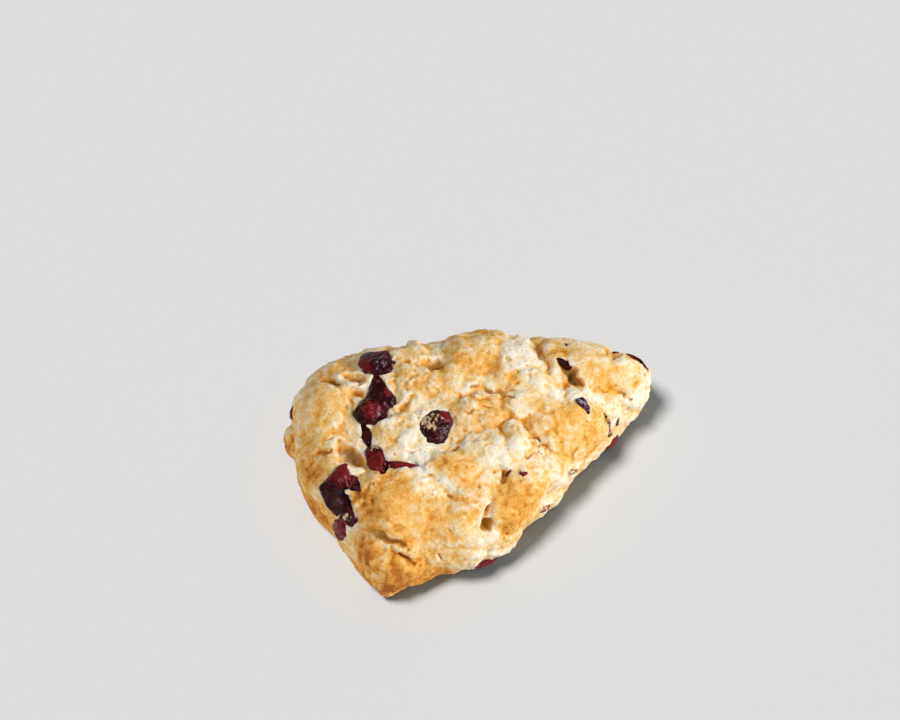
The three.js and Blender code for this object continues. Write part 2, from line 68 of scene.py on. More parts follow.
# Each lump: where it lies on the plain wedge, its half length and width, its turn in degrees, how
# far it rises, how round its edge is, and how brown it baked, from 0, cream, to 1, deep amber.
LUMPS = (
    # the baked rim
    ((-45, 21.5, 27), (10, 10), 0, 4.2, 0.35, 0.4),
    ((-38, 35, 21), (11, 8), -55, 2.5, 0.6, 0.5),
    ((-35.4, 27.8, 28), (4.5, 1.6), -69, 2.4, 0.6, 0.15),
    ((-31.4, 22.7, 29), (4, 1.4), -33, 2, 0.6, 0.1),
    ((-49, 10, 25), (12, 9), -45, 1.8, 0.7, 0.5),
    ((-55, 20, 12), (7, 5), -45, 3.2, 0.5, 0.6),
    ((-55, -2, 18), (15, 12), -55, 1.4, 0.7, 0.6),
    # the top along the longer cut side
    ((-15, 27, 27), (9, 7), 15, 2.2, 0.6, 0.35),
    ((-9, 32, 23), (5, 3), 80, 3, 0.5, 0.15),
    ((8, 23, 26), (14, 10), 55, 3.6, 0.5, 0.45),
    ((18, 15, 28), (10, 7), 65, 3.4, 0.5, 0.08),
    ((20, 21, 25), (5, 4), 60, 2, 0.5, 0.1),
    ((29.5, 20.5, 23), (5, 5), 60, 2.6, 0.5, 0.45),
    ((36, 10, 26), (13, 12), 70, 5, 0.45, 0.38),
    # the middle of the top
    ((-27, 2, 29), (9, 7), 50, 3.6, 0.45, 0.28),
    ((-17, 13, 30), (6, 5), -50, 2.2, 0.6, 0.2),
    ((-12, 17, 30), (9, 6), -20, 3, 0.5, 0.42),
    ((-1, 14, 30), (8, 5), -20, 3, 0.5, 0.4),
    ((9, 10, 29), (6, 5), -10, 2.2, 0.5, 0.3),
    ((18, 5, 29), (7, 6), -50, 3, 0.5, 0.25),
    ((13, -2, 29), (7, 5), -20, 3.6, 0.5, 0.35),
    ((1, 1, 29), (10, 7), -20, 2.8, 0.6, 0.38),
    ((-3, -12, 29), (10, 7), -5, 3.4, 0.6, 0.12),
    ((7, -11, 28), (6, 5), 75, 4.6, 0.35, 0.15),
    ((-15, -14, 28), (9, 7), -20, 4.2, 0.45, 0.5),
    ((-13, -22, 27), (7, 4), -20, 2.4, 0.6, 0.35),
    # the tip
    ((48.3, 0, 24), (9.4, 7), -15, 3.4, 0.5, 0.4),
    ((50, -6, 17), (11, 5), -30, 2.2, 0.6, 0.2),
    ((30, -4, 28), (9, 4), -30, 2.4, 0.6, 0.08),
    ((25, -12, 25), (15, 9), -35, 4, 0.5, 0.54),
    # the top along the shorter cut side
    ((-33, -17, 27), (14, 13), -25, 5, 0.45, 0.62),
    ((-22, -26, 25), (10, 8), -20, 3.4, 0.6, 0.5),
    ((-16, -26, 25), (5, 3), 0, 4.4, 0.4, 0.65),
    ((0, -28, 22), (10, 8), 45, 3.8, 0.5, 0.7),
    ((6, -24, 24), (8, 5), -25, 3.6, 0.5, 0.5),
    ((18, -22, 20), (13, 7), -25, 2.2, 0.6, 0.25),
    # the face of the shorter cut side
    ((-6, -33, 12), (10, 7), -45, 2.4, 0.6, 0.3),
    ((-21, -33, 16), (12, 10), 85, 2.4, 0.7, 0.4),
    # the corner where that side meets the rim
    ((-40, -33.6, 15), (9, 5), 75, 2.2, 0.6, 0.85),
    ((-46, -27, 20), (7, 5), -55, 2.6, 0.5, 0.75),
    ((-36, -30, 22), (6, 3), -40, 3.4, 0.45, 0.7),
    ((-32, -34, 10), (13, 6), -35, 1.8, 0.6, 0.8),
    # the face of the longer cut side
    ((-26, 37, 11), (12, 8), 10, 2.2, 0.6, 0.3),
    ((-4, 33, 12), (9, 7), 60, 1.8, 0.6, 0.2),
    ((13, 27, 12), (12, 7), -10, 2.2, 0.6, 0.3),
    ((33, 17, 12), (10, 7), 20, 1.8, 0.6, 0.25),
)

# Each hollow between the lumps, stated in the same way: place, half size, turn, depth, edge.
HOLLOWS = (
    ((-41, 2.2, 28), (7, 3.8), -60, 3.6, 1.5),
    ((-48, 6, 26), (3.5, 1.2), -25, 1.6, 1.2),
    ((-31.5, 25.5, 29), (5.5, 2.6), -48, 2.6, 1.5),
    ((-32.2, 20.2, 29), (3.2, 2.2), 85, 2.4, 1.5),
    ((-37.8, 28, 28), (5.5, 1.4), -50, 1.8, 1.3),
    ((-35, 18, 29), (5, 1.4), 80, 1.6, 1.3),
    ((-20, 11, 29), (3, 2), 10, 2, 1.2),
    ((-7.5, 21, 30), (6, 2.2), -30, 2.6, 1.4),
    ((23, 14.5, 27), (6.5, 2.6), 62, 3.2, 1.5),
    ((31.2, 3, 28), (8.4, 2.4), -73, 3.4, 1.7),
    ((29.4, 2.6, 28), (8, 4.4), -73, 1.3, 1.3),
    ((0, -20, 27), (3, 1.6), 30, 2.6, 1),
    ((-11, -30.5, 21), (2.4, 2.2), -60, 6, 0.6),
    ((-10, -28, 24), (3, 1.3), 60, 2.2, 1),
    ((-41, -25.4, 24.5), (8, 1.6), -50, 3, 1.2),
    ((-36.5, -33.4, 20), (4.5, 1.1), -58, 2.2, 1),
    ((46.6, 9.8, 22), (5, 2.2), 85, 4.2, 1),
)

# How deep a lump or hollow reaches into the wedge for its size, how softly lumps meet, and how far
# they all stray from these plain shapes.
LUMP_DEPTH, HOLLOW_DEPTH = 1.3, 1.5
LUMP_BLEND = 0.8
WOBBLE_SIZE, WOBBLE_REACH = 7, 1.3

# How brown the dough baked away from the lumps, and how much that counts against theirs.
PLAIN_BROWN, PLAIN_WEIGHT = 0.2, 0.35

# The coarse grain of the dough, as sizes with their heights.
GRAIN, GRAIN_SEEDS = ((9, 0.8), (5, 0.7)), (10, 11)


def closed_curve(points, steps):
    """A smooth closed line through the points, with so many straight pieces between two of them."""
    p = np.array(points, float)
    before, after, beyond = np.roll(p, 1, 0), np.roll(p, -1, 0), np.roll(p, -2, 0)
    pieces = []
    for t in np.arange(steps) / steps:
        pieces.append(
            p
            + 0.5 * (after - before) * t
            + 0.5 * (2 * before - 5 * p + 4 * after - beyond) * t**2
            + 0.5 * (3 * p - before - 3 * after + beyond) * t**3
        )
    return np.stack(pieces, 1).reshape(-1, 2)


outline = closed_curve(OUTLINE, OUTLINE_STEPS)


def outline_distance(x, y):
    """Distance to the wedge's outline in plan, negative inside it."""
    nearest = np.full(x.shape, np.inf)
    inside = np.zeros(x.shape, bool)
    for start, end in zip(outline, np.roll(outline, -1, 0)):
        ex, ey = end - start
        wx, wy = x - start[0], y - start[1]
        along = np.clip((wx * ex + wy * ey) / (ex * ex + ey * ey), 0, 1)
        nearest = np.minimum(nearest, np.hypot(wx - along * ex, wy - along * ey))
        crosses = (start[1] <= y) != (end[1] <= y)
        if ey:
            inside ^= crosses & (wx < ex * wy / ey)
    return np.where(inside, -nearest, nearest)


def rounded_edge(a, b, radius):
    """The inside of both a and b, with the edge between them rounded."""
    corner = np.hypot(np.maximum(a + radius, 0), np.maximum(b + radius, 0))
    return np.minimum(-radius, np.maximum(a, b)) + corner


def wedge_depth(p):
    """Signed distance to the plain wedge, without its underside."""
    x, y, z = p.T
    lengthwise = (x - CROWN_CENTRE[0]) / CROWN_REACH[0]
    across = (y - CROWN_CENTRE[1]) / CROWN_REACH[1]
    crown = CROWN + CROWN_TILT * y - CROWN_FALL[0] * lengthwise**2 - CROWN_FALL[1] * across**2
    lean = SIDE_LEAN * (np.maximum(z - WAIST, 0) / LEAN_HEIGHT) ** 2
    tuck = FOOT_TUCK * (np.maximum(WAIST - z, 0) / WAIST) ** 2
    return rounded_edge(outline_distance(x, y) + lean + tuck, z - crown, BROW)


def lattice(i, j, k, seed):
    """A number from 0 to 1 for each corner of a grid, always the same for the same corner."""
    s = np.sin(i * 127.1 + j * 311.7 + k * 74.7 + seed * 53.3) * 43758.5453
    return s - np.floor(s)


def noise(p, size, seed):
    """Values that wander between -1 and 1 over so many millimetres, in another way for each seed."""
    cell = p / size + 50.5
    low = np.floor(cell)
    part = cell - low
    part = part * part * (3 - 2 * part)
    total = 0
    for step in np.ndindex(2, 2, 2):
        weight = np.where(step, part, 1 - part).prod(-1)
        total = total + weight * lattice(*(low + step).T, seed)
    return 2 * total - 1


def rumple(p, layers, seeds, start=0):
    """Noise of several sizes, each with its own height, added to a start."""
    return sum((height * noise(p, size, seed) for (size, height), seed in zip(layers, seeds)), start)


def shaken(p, size, reach, seeds):
    """The points, each moved a little by noise, so that what is drawn from them wobbles."""
    return p + reach * np.stack([noise(p, size, seed) for seed in seeds], 1)


def slope(depth, p):
    """How fast the depth grows along each axis at one point."""
    ahead = np.array([depth(p + 0.5 * axis[None])[0] for axis in np.eye(3)])
    behind = np.array([depth(p - 0.5 * axis[None])[0] for axis in np.eye(3)])
    return ahead - behind


SETTLING_ROUNDS = 8


def seat_on(depth, at, turn):
    """A place on the skin, the turn that lays a shape there, and the way out of the dough."""
    place = np.array([at], float)
    out = slope(depth, place)
    for _ in range(SETTLING_ROUNDS):
        place = place - depth(place)[0] * out / (out @ out)
        out = slope(depth, place)
    out = out / np.linalg.norm(out)
    cos, sin = math.cos(math.radians(turn)), math.sin(math.radians(turn))
    axis = np.cross((0, 0, 1), out)
    cross = np.array([[0, -axis[2], axis[1]], [axis[2], 0, -axis[0]], [-axis[1], axis[0], 0]])
    tip = np.eye(3) + cross + cross @ cross / (1 + out[2])
    return place[0], tip @ np.array([[cos, -sin, 0], [sin, cos, 0], [0, 0, 1]]), out


def bowl_on(at, half, turn, depth_ratio):
    """A bowl laid on the wedge: its middle, its turn and its half sizes."""
    place, turned, _ = seat_on(wedge_depth, at, turn)
    return place, turned, np.array([*half, depth_ratio * max(half)])


lumps = [(bowl_on(*row[:3], LUMP_DEPTH), *row[3:]) for row in LUMPS]
hollows = [(bowl_on(*row[:3], HOLLOW_DEPTH), *row[3:]) for row in HOLLOWS]


def inside_bowl(bowl, p):
    """Which points a bowl covers, and for those 1 at its middle and 0 at its edge."""
    place, turned, half = bowl
    offset = p - place
    near = (np.abs(offset) < half.max()).all(1)
    fill = np.maximum(1 - (((offset[near] @ turned) / half) ** 2).sum(1), 0)
    return near, fill


def relief(p):
    """How far the lumps and hollows move the skin out, and how brown it bakes there."""
    q = shaken(p, WOBBLE_SIZE, WOBBLE_REACH, (1, 2, 3))
    height = np.zeros(len(p))
    weight = np.full(len(p), PLAIN_WEIGHT)
    brown = weight * PLAIN_BROWN
    for bowl, rise, edge, baked in lumps:
        near, fill = inside_bowl(bowl, q)
        old, new = height[near], rise * fill**edge
        blend = np.maximum(LUMP_BLEND - np.abs(old - new), 0) / LUMP_BLEND
        height[near] = np.maximum(old, new) + blend * blend * LUMP_BLEND / 4
        weight[near] += rise * fill
        brown[near] += rise * fill * baked
    pit = np.zeros(len(p))
    for bowl, depth, edge in hollows:
        near, fill = inside_bowl(bowl, q)
        pit[near] += depth * fill**edge
    return height - pit, brown / weight, pit


def form_depth(p):
    """Signed distance to the dough with its lumps and coarse grain, as the solid has it."""
    side = wedge_depth(p) - relief(p)[0] + rumple(p, GRAIN, GRAIN_SEEDS)
    return rounded_edge(side, -p[:, 2], FOOT)


# ------------------------------------------------------------------------------------------------
# The cranberries: dried, sweetened fruit kneaded through the dough. Each is a leathery, folded sac
# with a few flat sides, dark where it is thick and clear red at its rim, slick with syrup and dusted
# with flour, whose bloom is painted sheen too. Each one sits in the pocket that the dough baked round
# it.

# Name, where it shows, half its thickness, how deep its middle lies, and its outline on the skin.
CRANBERRIES = (
    ("cranberry_fold", (-23, 27.9, 29), 4.0, 2.2,
     ((-4, -3.2), (0, -6.2), (3.5, -6.2), (6, -2), (5.5, 3.2), (1.5, 6), (-3.5, 6.2), (-6, 3))),
    ("cranberry_arrow", (-27, 17.5, 29), 4.6, 2.6,
     ((-5.5, -1), (-1, -7.5), (4.5, -8.5), (6, -4.5), (5, 3.5), (3, 9), (-2, 4))),
    ("cranberry_fist", (-31, 13, 29), 4.4, 0.8,
     ((-5, -2.5), (-1.5, -5.5), (4.5, -4.5), (5.5, 0), (4, 3.5), (0, 5.5), (-5.5, 1.5))),
    ("cranberry_fist_tail", (-34.2, 7, 28.5), 2.2, 0.9,
     ((-1.6, -4.8), (0, -4.2), (1.6, -0.8), (2.4, 2.2), (-1, 5), (-2.2, 0))),
    ("cranberry_island", (-34, -3, 29), 3.6, 1.6,
     ((-3, -3), (-0.5, -6), (3.5, -3.5), (3, 0), (2, 4), (0.5, 6), (-2, 6), (-3.5, 2.5))),
    ("cranberry_island_tail", (-28, -7.5, 31), 1.6, 0.8,
     ((-4, -0.5), (2, -2.5), (5, -2.5), (0, 1), (-3.5, 2.5))),
    ("cranberry_round", (-14, 0.5, 29), 5.0, 2.2,
     ((-5, -4.5), (-1.5, -7), (2, -6), (5.5, -1), (5.5, 4), (1.5, 6.5), (-4, 4.5), (-6, 0))),
    ("cranberry_rim_slab", (-48.5, -7, 25.5), 3.6, 1.2,
     ((-6, -0.5), (-4.5, -7), (1.5, -7), (4, -2.5), (5.5, 3.5), (6, 7), (-0.5, 6.5), (-6, 5))),
    ("cranberry_rim_inner", (-44, -7.5, 27.5), 3.0, 1.2,
     ((-3, -0.5), (0.5, -3.5), (2.5, -3), (3, 0), (2, 3.5), (-2, 3.5))),
    ("cranberry_rim_lower", (-48.5, -14.5, 23), 2.8, 1.0,
     ((-3, -0.5), (0, -3.5), (3, -3), (4, 0), (3.5, 3.5), (-4, 1))),
    ("cranberry_rim_foot", (-51, -15, 17.5), 2.6, 1.0,
     ((-5, -1.5), (-3.5, -3), (0.5, -3), (5, -1), (5.5, 2), (1.5, 3), (-3.5, 3))),
    ("cranberry_rim_side", (-52, 28, 16), 2.4, 1.1,
     ((-3.5, 0), (-1.5, -2.5), (2, -2.5), (3.5, 0), (2, 2.5), (-1.5, 2.5))),
    ("cranberry_slit", (29.6, 6.6, 27.5), 2.0, 1.0,
     ((0.2, -2.1), (1.9, -2.6), (2.5, -0.6), (-0.9, 2.6), (-2.2, 2.5), (-1.4, 0.5))),
    ("cranberry_speck", (34, 13.5, 28.5), 1.0, 0.4,
     ((-0.8, -1), (0.7, -0.7), (0.8, 0.8), (-0.6, 1))),
    ("cranberry_hook", (30.8, -8.4, 28.3), 1.3, 0.5,
     ((-0.6, -2.6), (0.7, -3.8), (1.6, -0.3), (0.6, 3), (-2.4, 2.9), (-1.3, 0))),
    ("cranberry_tip", (51, 6, 23.5), 3.0, 1.6,
     ((3.2, -8.6), (5.6, -6.6), (3.4, -1), (-2, 4), (-7.4, 6), (-8.2, 4.7), (-3, 0.2), (1, -5.4))),
    ("cranberry_streak", (37.6, -12.1, 18.2), 1.1, 0.6,
     ((1.4, -5.4), (2.9, -6.8), (2.5, -4), (-1, 4.8), (-2.8, 6.8), (-2.5, 4.2))),
    ("cranberry_streak_small", (41.2, -10.1, 14.9), 0.9, 0.5,
     ((0.6, -2.6), (1.6, -2.9), (0.2, 1.8), (-1.5, 2.9), (-1.1, 0.4))),
    ("cranberry_tip_foot", (39, -12, 4.6), 2.2, 0.7,
     ((-4, -1.6), (-2, -2.8), (3, -1.6), (4, 1.2), (0, 2.4), (-3.5, 1.4))),
    ("cranberry_near", (9.7, -27.7, 11.8), 1.4, 0.9,
     ((-3.7, -0.8), (1.4, -2.8), (3.7, -1), (3, 0.9), (-0.6, 2.2), (-3, 1.2))),
    ("cranberry_near_foot", (-12, -34, 6.4), 2.8, 0.7,
     ((-5.5, -0.5), (-3, -2.6), (3, -2.4), (5.5, 0), (3.5, 2.6), (-3.5, 2.4))),
    ("cranberry_dot", (5.1, -22.2, 27.8), 1.1, 0.4,
     ((-0.5, -1.2), (1.4, -0.8), (1.2, 0.5), (-0.4, 1.2), (-1.4, 0.3))),
    ("cranberry_crevice", (1.3, -19.8, 26.4), 1.2, 0.1,
     ((-1.4, -0.9), (-0.5, -1.2), (1.4, 0.4), (1.4, 1.2), (-0.2, 0.8))),
    ("cranberry_sliver", (21, -22.1, 17.4), 0.9, 0.4,
     ((-3.2, 0.6), (-0.8, -0.7), (2.6, -1.1), (3.3, -0.3), (0, 0.8), (-2.6, 1.2))),
    ("cranberry_far_rim", (-22, 37, 10), 3.0, 2.0,
     ((-5, -1), (-2, -3.4), (3, -3), (5, 0), (2.5, 3.4), (-3, 3))),
    ("cranberry_far_middle", (10, 29, 15), 3.0, 1.2,
     ((-4, 0), (-1.5, -3), (3, -2.5), (4.2, 0.5), (1.5, 3), (-2.5, 2.5))),
    ("cranberry_far_tip", (37, 15, 9), 2.6, 1.1,
     ((-3.8, -0.5), (-1, -2.6), (3, -2), (3.8, 1), (0.5, 2.6), (-3, 2))),
)

# How square the edges at their sides and tops are, the pleats that swell and pinch them, and the
# flat places that the dough pressed on them: how many, how far over they lean, how much they cut.
SIDE_EDGE = 14
TOP_EDGE = 2.4
PLEAT_SIZE, PLEAT_DEPTH = 0.8, 0.14
FACETS = 6
FACET_TILT = (8, 48)
FACET_CUT = (0.84, 0.95)

# How high up its side the dough holds a fruit, and how far round it the dough feels it.
LIP_OF_SINK, LIP_OF_THICKNESS = 0.85, 0.5
DOUGH_FEELS = 4

# The folds and wrinkles of their skin, as shares of their size.
FOLD_SIZE, FOLD_DEPTH, FOLD_MEAN = 0.5, 0.05, 0.6
WRINKLE_SIZE, WRINKLE_DEPTH = 0.2, 0.02

# Each fruit has a seed, counted on from the first, and its folds and wrinkles add these to it.
FIRST_SEED, FOLD_SEED, WRINKLE_SEED = 30, 60, 90

# From what size up a fruit's mesh is finer, and how fine the smaller and larger ones are.
LARGE_BERRY = 3
SMALL_FINENESS, LARGE_FINENESS = 5, 6

# What coats them, and where the flesh is thin enough for light to redden it: places and reaches.
COATINGS = {
    "doughy": (
        ((-15.8, 4.2, 33), 6.4),
        ((-13, 1.2, 34.6), 3.8),
        ((-33.8, 1.4, 30.5), 2.6),
        ((-49.4, -15.4, 25.6), 2.4),
        ((34, 14, 31.2), 4),
        ((38, -9.5, 23.5), 6.5),
        ((5.4, -21, 29), 1.8),
        ((40.5, -16, 20), 9.5),
        ((11, -33.5, 13), 10),
        ((23, -27, 19), 9),
    ),
    # Flour dust, which also stands as painted sheen and glints on the folds.
    "flour_and_sheen": (
        ((-11.5, 2, 32.5), 1.8),
        ((-15, -3, 37), 7.2),
        ((-21.3, 15, 31.2), 3),
        ((-23.5, 11.5, 31.5), 2.4),
        ((-27, 12, 36), 6.5),
        ((-33, 20, 34), 6),
        ((-21, 28, 36.5), 8),
        ((-35, -5, 36), 7),
        ((31.5, -9.5, 33.5), 9.4),
        ((5, -21.5, 30.5), 3),
    ),
    "thin": (
        ((-45.6, -1.4, 28), 6.5),
        ((-51.5, -17, 19), 5.5),
        ((-30.3, 12.5, 32.5), 3.6),
        ((-36.4, -3.8, 31), 6),
        ((-28, -7.5, 32), 6),
        ((-28.2, 28.8, 31), 4.5),
        ((-22.3, 17, 31), 2.6),
        ((-10, 3, 31), 3.4),
        ((55.5, 1, 20), 5),
        ((50, 6, 25), 7),
        ((38, -11, 17), 11),
        ((39, -13, 5), 6),
        ((9.7, -28, 12), 6),
        ((21, -22, 17), 5),
        ((-12, -36, 6), 6),
        ((-54, 28, 17), 7),
        ((5, -22, 29), 4),
        ((1.3, -19.8, 27), 3),
        ((34, 13.5, 29), 3),
    ),
}
COATING_RAGS = ((1.3, 0.32), (0.6, 0.3), (0.35, 0.25))

# Directions spread evenly over a ball.
WAYS = 800
rank = np.arange(WAYS) + 0.5
level, round_about = 1 - 2 * rank / WAYS, math.pi * (1 + math.sqrt(5)) * rank
EVERY_WAY = np.stack([np.cos(round_about), np.sin(round_about), np.ones(WAYS)], 1)
EVERY_WAY *= np.stack([np.sqrt(1 - level**2), np.sqrt(1 - level**2), level], 1)


class Cranberry:
    """A cranberry in its seat in the dough."""

    def __init__(self, row, seed):
        self.name, at, self.thick, sink, outline = row
        place, self.turned, out = seat_on(wedge_depth, at, 0)
        for _ in range(SETTLING_ROUNDS):
            place = place - form_depth(place[None])[0] * out
        self.middle = place - sink * out
        corners = np.array(outline, float)
        along = np.roll(corners, -1, 0) - corners
        self.side_out = np.stack([along[:, 1], -along[:, 0]], 1)
        self.side_out /= np.linalg.norm(along, axis=1)[:, None]
        self.side_far = (self.side_out * corners).sum(1)
        self.size = np.linalg.norm(corners, axis=1).max()
        self.seed = seed
        self.lip = min(LIP_OF_SINK * sink, LIP_OF_THICKNESS * self.thick)
        chance = np.random.default_rng(seed)
        turn = 2 * math.pi * (np.arange(FACETS) + chance.uniform(size=FACETS)) / FACETS
        tilt = np.radians(chance.uniform(*FACET_TILT, FACETS))
        self.facets = np.stack(
            [np.sin(tilt) * np.cos(turn), np.sin(tilt) * np.sin(turn), np.cos(tilt)]
        )
        furthest = ((EVERY_WAY * self.bulk(EVERY_WAY)[:, None]) @ self.facets).max(0)
        self.facet_far = furthest * chance.uniform(*FACET_CUT, FACETS)

    def bulk(self, direction):
        """How far its skin would be in each direction from its middle if nothing pressed on it."""
        sides = np.maximum(direction[:, :2] @ self.side_out.T / self.side_far, 0)
        flank = (sides**SIDE_EDGE).sum(1) ** (1 / SIDE_EDGE)
        top = np.abs(direction[:, 2]) / self.thick
        far = (flank**TOP_EDGE + top**TOP_EDGE) ** (-1 / TOP_EDGE)
        return far * (1 + PLEAT_DEPTH * noise(direction, PLEAT_SIZE, self.seed))

    def reach(self, direction):
        """How far its skin is in each direction, pressed flat where the dough held it."""
        pressed = (direction @ self.facets / self.facet_far).max(1)
        return 1 / np.maximum(pressed, 1 / self.bulk(direction))

    def depth(self, p, open_above=False):
        """Signed distance to its skin, or to the pocket that it lies in, which is open above it."""
        local = (p - self.middle) @ self.turned
        if open_above:
            local[:, 2] = np.minimum(local[:, 2], self.lip)
        far = np.linalg.norm(local, axis=1) + 1e-9
        return far - self.reach(local / far[:, None])

    def near(self, p):
        """Which points are so close that it swells or stains the dough there."""
        return (np.abs(p - self.middle) < self.size + DOUGH_FEELS).all(1)

    def skin(self, direction):
        """Its wrinkled skin in each direction."""
        fold = 1 - 2 * np.abs(noise(direction, FOLD_SIZE, self.seed + FOLD_SEED))
        wrinkle = noise(direction, WRINKLE_SIZE, self.seed + WRINKLE_SEED)
        crumpled = 1 + FOLD_DEPTH * (fold - FOLD_MEAN) + WRINKLE_DEPTH * wrinkle
        return self.middle + direction * (self.reach(direction) * crumpled)[:, None] @ self.turned.T


cranberries = [Cranberry(row, FIRST_SEED + n) for n, row in enumerate(CRANBERRIES)]


def linear(code, alpha=1):
    """An sRGB hex colour as the linear values that a shader takes."""
    parts = [int(code[n : n + 2], 16) / 255 for n in (1, 3, 5)]
    return [c / 12.92 if c < 0.04045 else ((c + 0.055) / 1.055) ** 2.4 for c in parts] + [alpha]


MM = 0.001


def per_metre(millimetres):
    """The scale that gives a pattern this size."""
    return 1 / (millimetres * MM)


def add_node(material, kind, values=(), stops=(), **settings):
    """Adds a node with its settings and colour stops, and sets or links each of its inputs."""
    made = material.node_tree.nodes.new(kind)
    for name, value in settings.items():
        setattr(made, name, value)
    for n, (position, colour) in enumerate(stops):
        ramp = made.color_ramp.elements
        stop = ramp[n] if n < 2 else ramp.new(position)
        stop.position, stop.color = position, linear(colour)
    for socket, value in dict(values).items():
        if isinstance(value, bpy.types.NodeSocket):
            material.node_tree.links.new(value, made.inputs[socket])
        else:
            made.inputs[socket].default_value = value
    return made


def new_material(name):
    """A material with no nodes yet."""
    material = bpy.data.materials.new(name)
    material.use_nodes = True
    material.node_tree.nodes.clear()
    return material


# Dried fruit skin: nearly black where it is thick, wine red where it is thin enough for light to pass,
# and slick with syrup. Flour clings to the folds in a bluish bloom, which is also painted sheen and
# glints, and dough smears it cream. The grains of flour are really too fine to see, and are drawn
# 0.8 mm wide so that the bloom is broken.
dried_cranberry = new_material("dried_cranberry")
place = add_node(dried_cranberry, "ShaderNodeTexCoord").outputs["Object"]
flesh_patches, flour_and_sheen_drift, flour_and_glint_grains, fine_folds = (
    add_node(
        dried_cranberry,
        "ShaderNodeTexNoise",
        {"Vector": place, "Scale": per_metre(size), "Detail": detail, "Roughness": 0.62},
    ).outputs["Fac"]
    for size, detail in ((4.5, 3), (4.5, 2), (0.8, 5), (1.5, 2))
)
coated = {
    name: add_node(dried_cranberry, "ShaderNodeAttribute", attribute_name=name).outputs["Fac"]
    for name in COATINGS
}
redness = add_node(
    dried_cranberry,
    "ShaderNodeMath",
    {0: flesh_patches, 1: 1.1, 2: coated["thin"]},
    operation="MULTIPLY_ADD",
).outputs[0]
skin_colour = add_node(
    dried_cranberry,
    "ShaderNodeValToRGB",
    {"Fac": redness},
    stops=((0.44, "#220307"), (0.64, "#44070c"), (0.9, "#6a0f15"), (1.0, "#781a1b")),
).outputs["Color"]
bloom_and_glints = add_node(dried_cranberry, "ShaderNodeMath", {0: flour_and_glint_grains, 1: flour_and_sheen_drift}, operation="ADD")
rough_share = 0
# The flour bloom and flour coat are also painted sheen and glints; the dough coat is smeared dough.
washes = (
    (bloom_and_glints.outputs[0], 1.16, 1.38, 0.45, "#9a8fb0"),
    (coated["flour_and_sheen"], 0.45, 0.75, 0.75, "#a49cba"),
    (coated["doughy"], 0.4, 0.66, 0.92, "#e6c89a"),
)
for value, low, high, most, colour in washes:
    share = add_node(
        dried_cranberry,
        "ShaderNodeMapRange",
        {"Value": value, "From Min": low, "From Max": high, "To Min": 0, "To Max": most},
    ).outputs["Result"]
    skin_colour = add_node(
        dried_cranberry,
        "ShaderNodeMix",
        {0: share, 6: skin_colour, 7: linear(colour)},
        data_type="RGBA",
    ).outputs[2]
    rough_share = add_node(
        dried_cranberry,
        "ShaderNodeMath",
        {0: share, 1: rough_share},
        operation="MAXIMUM",
    ).outputs[0]
slickness = add_node(
    dried_cranberry,
    "ShaderNodeMapRange",
    {"Value": rough_share, "From Min": 0, "From Max": 0.5, "To Min": 0.2, "To Max": 0.7},
).outputs["Result"]
fold_bump = add_node(
    dried_cranberry,
    "ShaderNodeBump",
    {"Height": fine_folds, "Strength": 0.8, "Distance": 0.6 * MM},
).outputs["Normal"]
fruit_surface = add_node(
    dried_cranberry,
    "ShaderNodeBsdfPrincipled",
    {
        "Base Color": skin_colour,
        "Roughness": slickness,
        "Normal": fold_bump,
        "IOR": 1.45,
        "Specular IOR Level": 0.15,
        "Subsurface Weight": 0.15,
        "Subsurface Radius": (1.0, 0.12, 0.1),
        "Subsurface Scale": 0.8 * MM,
        "Coat Weight": 0.06,
        "Coat Roughness": 0.12,
    },
)
add_node(dried_cranberry, "ShaderNodeOutputMaterial", {"Surface": fruit_surface.outputs[0]})


def show(mesh, material, name):
    """Puts a mesh in the scene, smooth shaded, as a piece that rides with the scone."""
    mesh.materials.append(material)
    mesh.polygons.foreach_set("use_smooth", np.ones(len(mesh.polygons), bool))
    piece = bpy.data.objects.new(name, mesh)
    bpy.context.scene.collection.objects.link(piece)
    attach(piece, "root")
    return piece


def rows_of(items, what, width, kind=float):
    """What a mesh's corners or edges hold, as the rows of an array."""
    values = np.empty(len(items) * width, kind)
    items.foreach_get(what, values)
    return values.reshape(-1, width)


def ball_mesh(fineness):
    """A new mesh of a ball."""
    bpy.ops.mesh.primitive_ico_sphere_add(subdivisions=fineness)
    ball = bpy.context.object
    mesh = ball.data
    bpy.data.objects.remove(ball)
    return mesh


def keep_layer(mesh, name, values):
    """Keeps a value for each corner of a mesh, for its material to read by this name."""
    layer = mesh.attributes.new(name, "FLOAT", "POINT")
    layer.data.foreach_set("value", values.astype(np.float32))


for berry in cranberries:
    mesh = ball_mesh(LARGE_FINENESS if berry.size > LARGE_BERRY else SMALL_FINENESS)
    direction = rows_of(mesh.vertices, "co", 3)
    direction /= np.linalg.norm(direction, axis=1)[:, None]
    skin = berry.skin(direction)
    mesh.vertices.foreach_set("co", (skin * MM).ravel())
    ragged = rumple(skin, COATING_RAGS, (61, 62, 63))
    for name, spots in COATINGS.items():
        coat = np.zeros(len(skin))
        for spot, reach in spots:
            coat = np.maximum(coat, 1 - np.linalg.norm(skin - spot, axis=1) / reach)
        keep_layer(mesh, name, coat + ragged * (coat > 0))
    fruit = show(mesh, dried_cranberry, berry.name + "_fruit")
    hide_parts(berry.name)


# ------------------------------------------------------------------------------------------------
# The baked skin of the dough, as one mesh over the whole wedge with a pocket for each cranberry.
# The high lumps baked to a thin golden crust, the torn places between them show soft pale crumb,
# and the underside is flat and evenly brown from the tray.

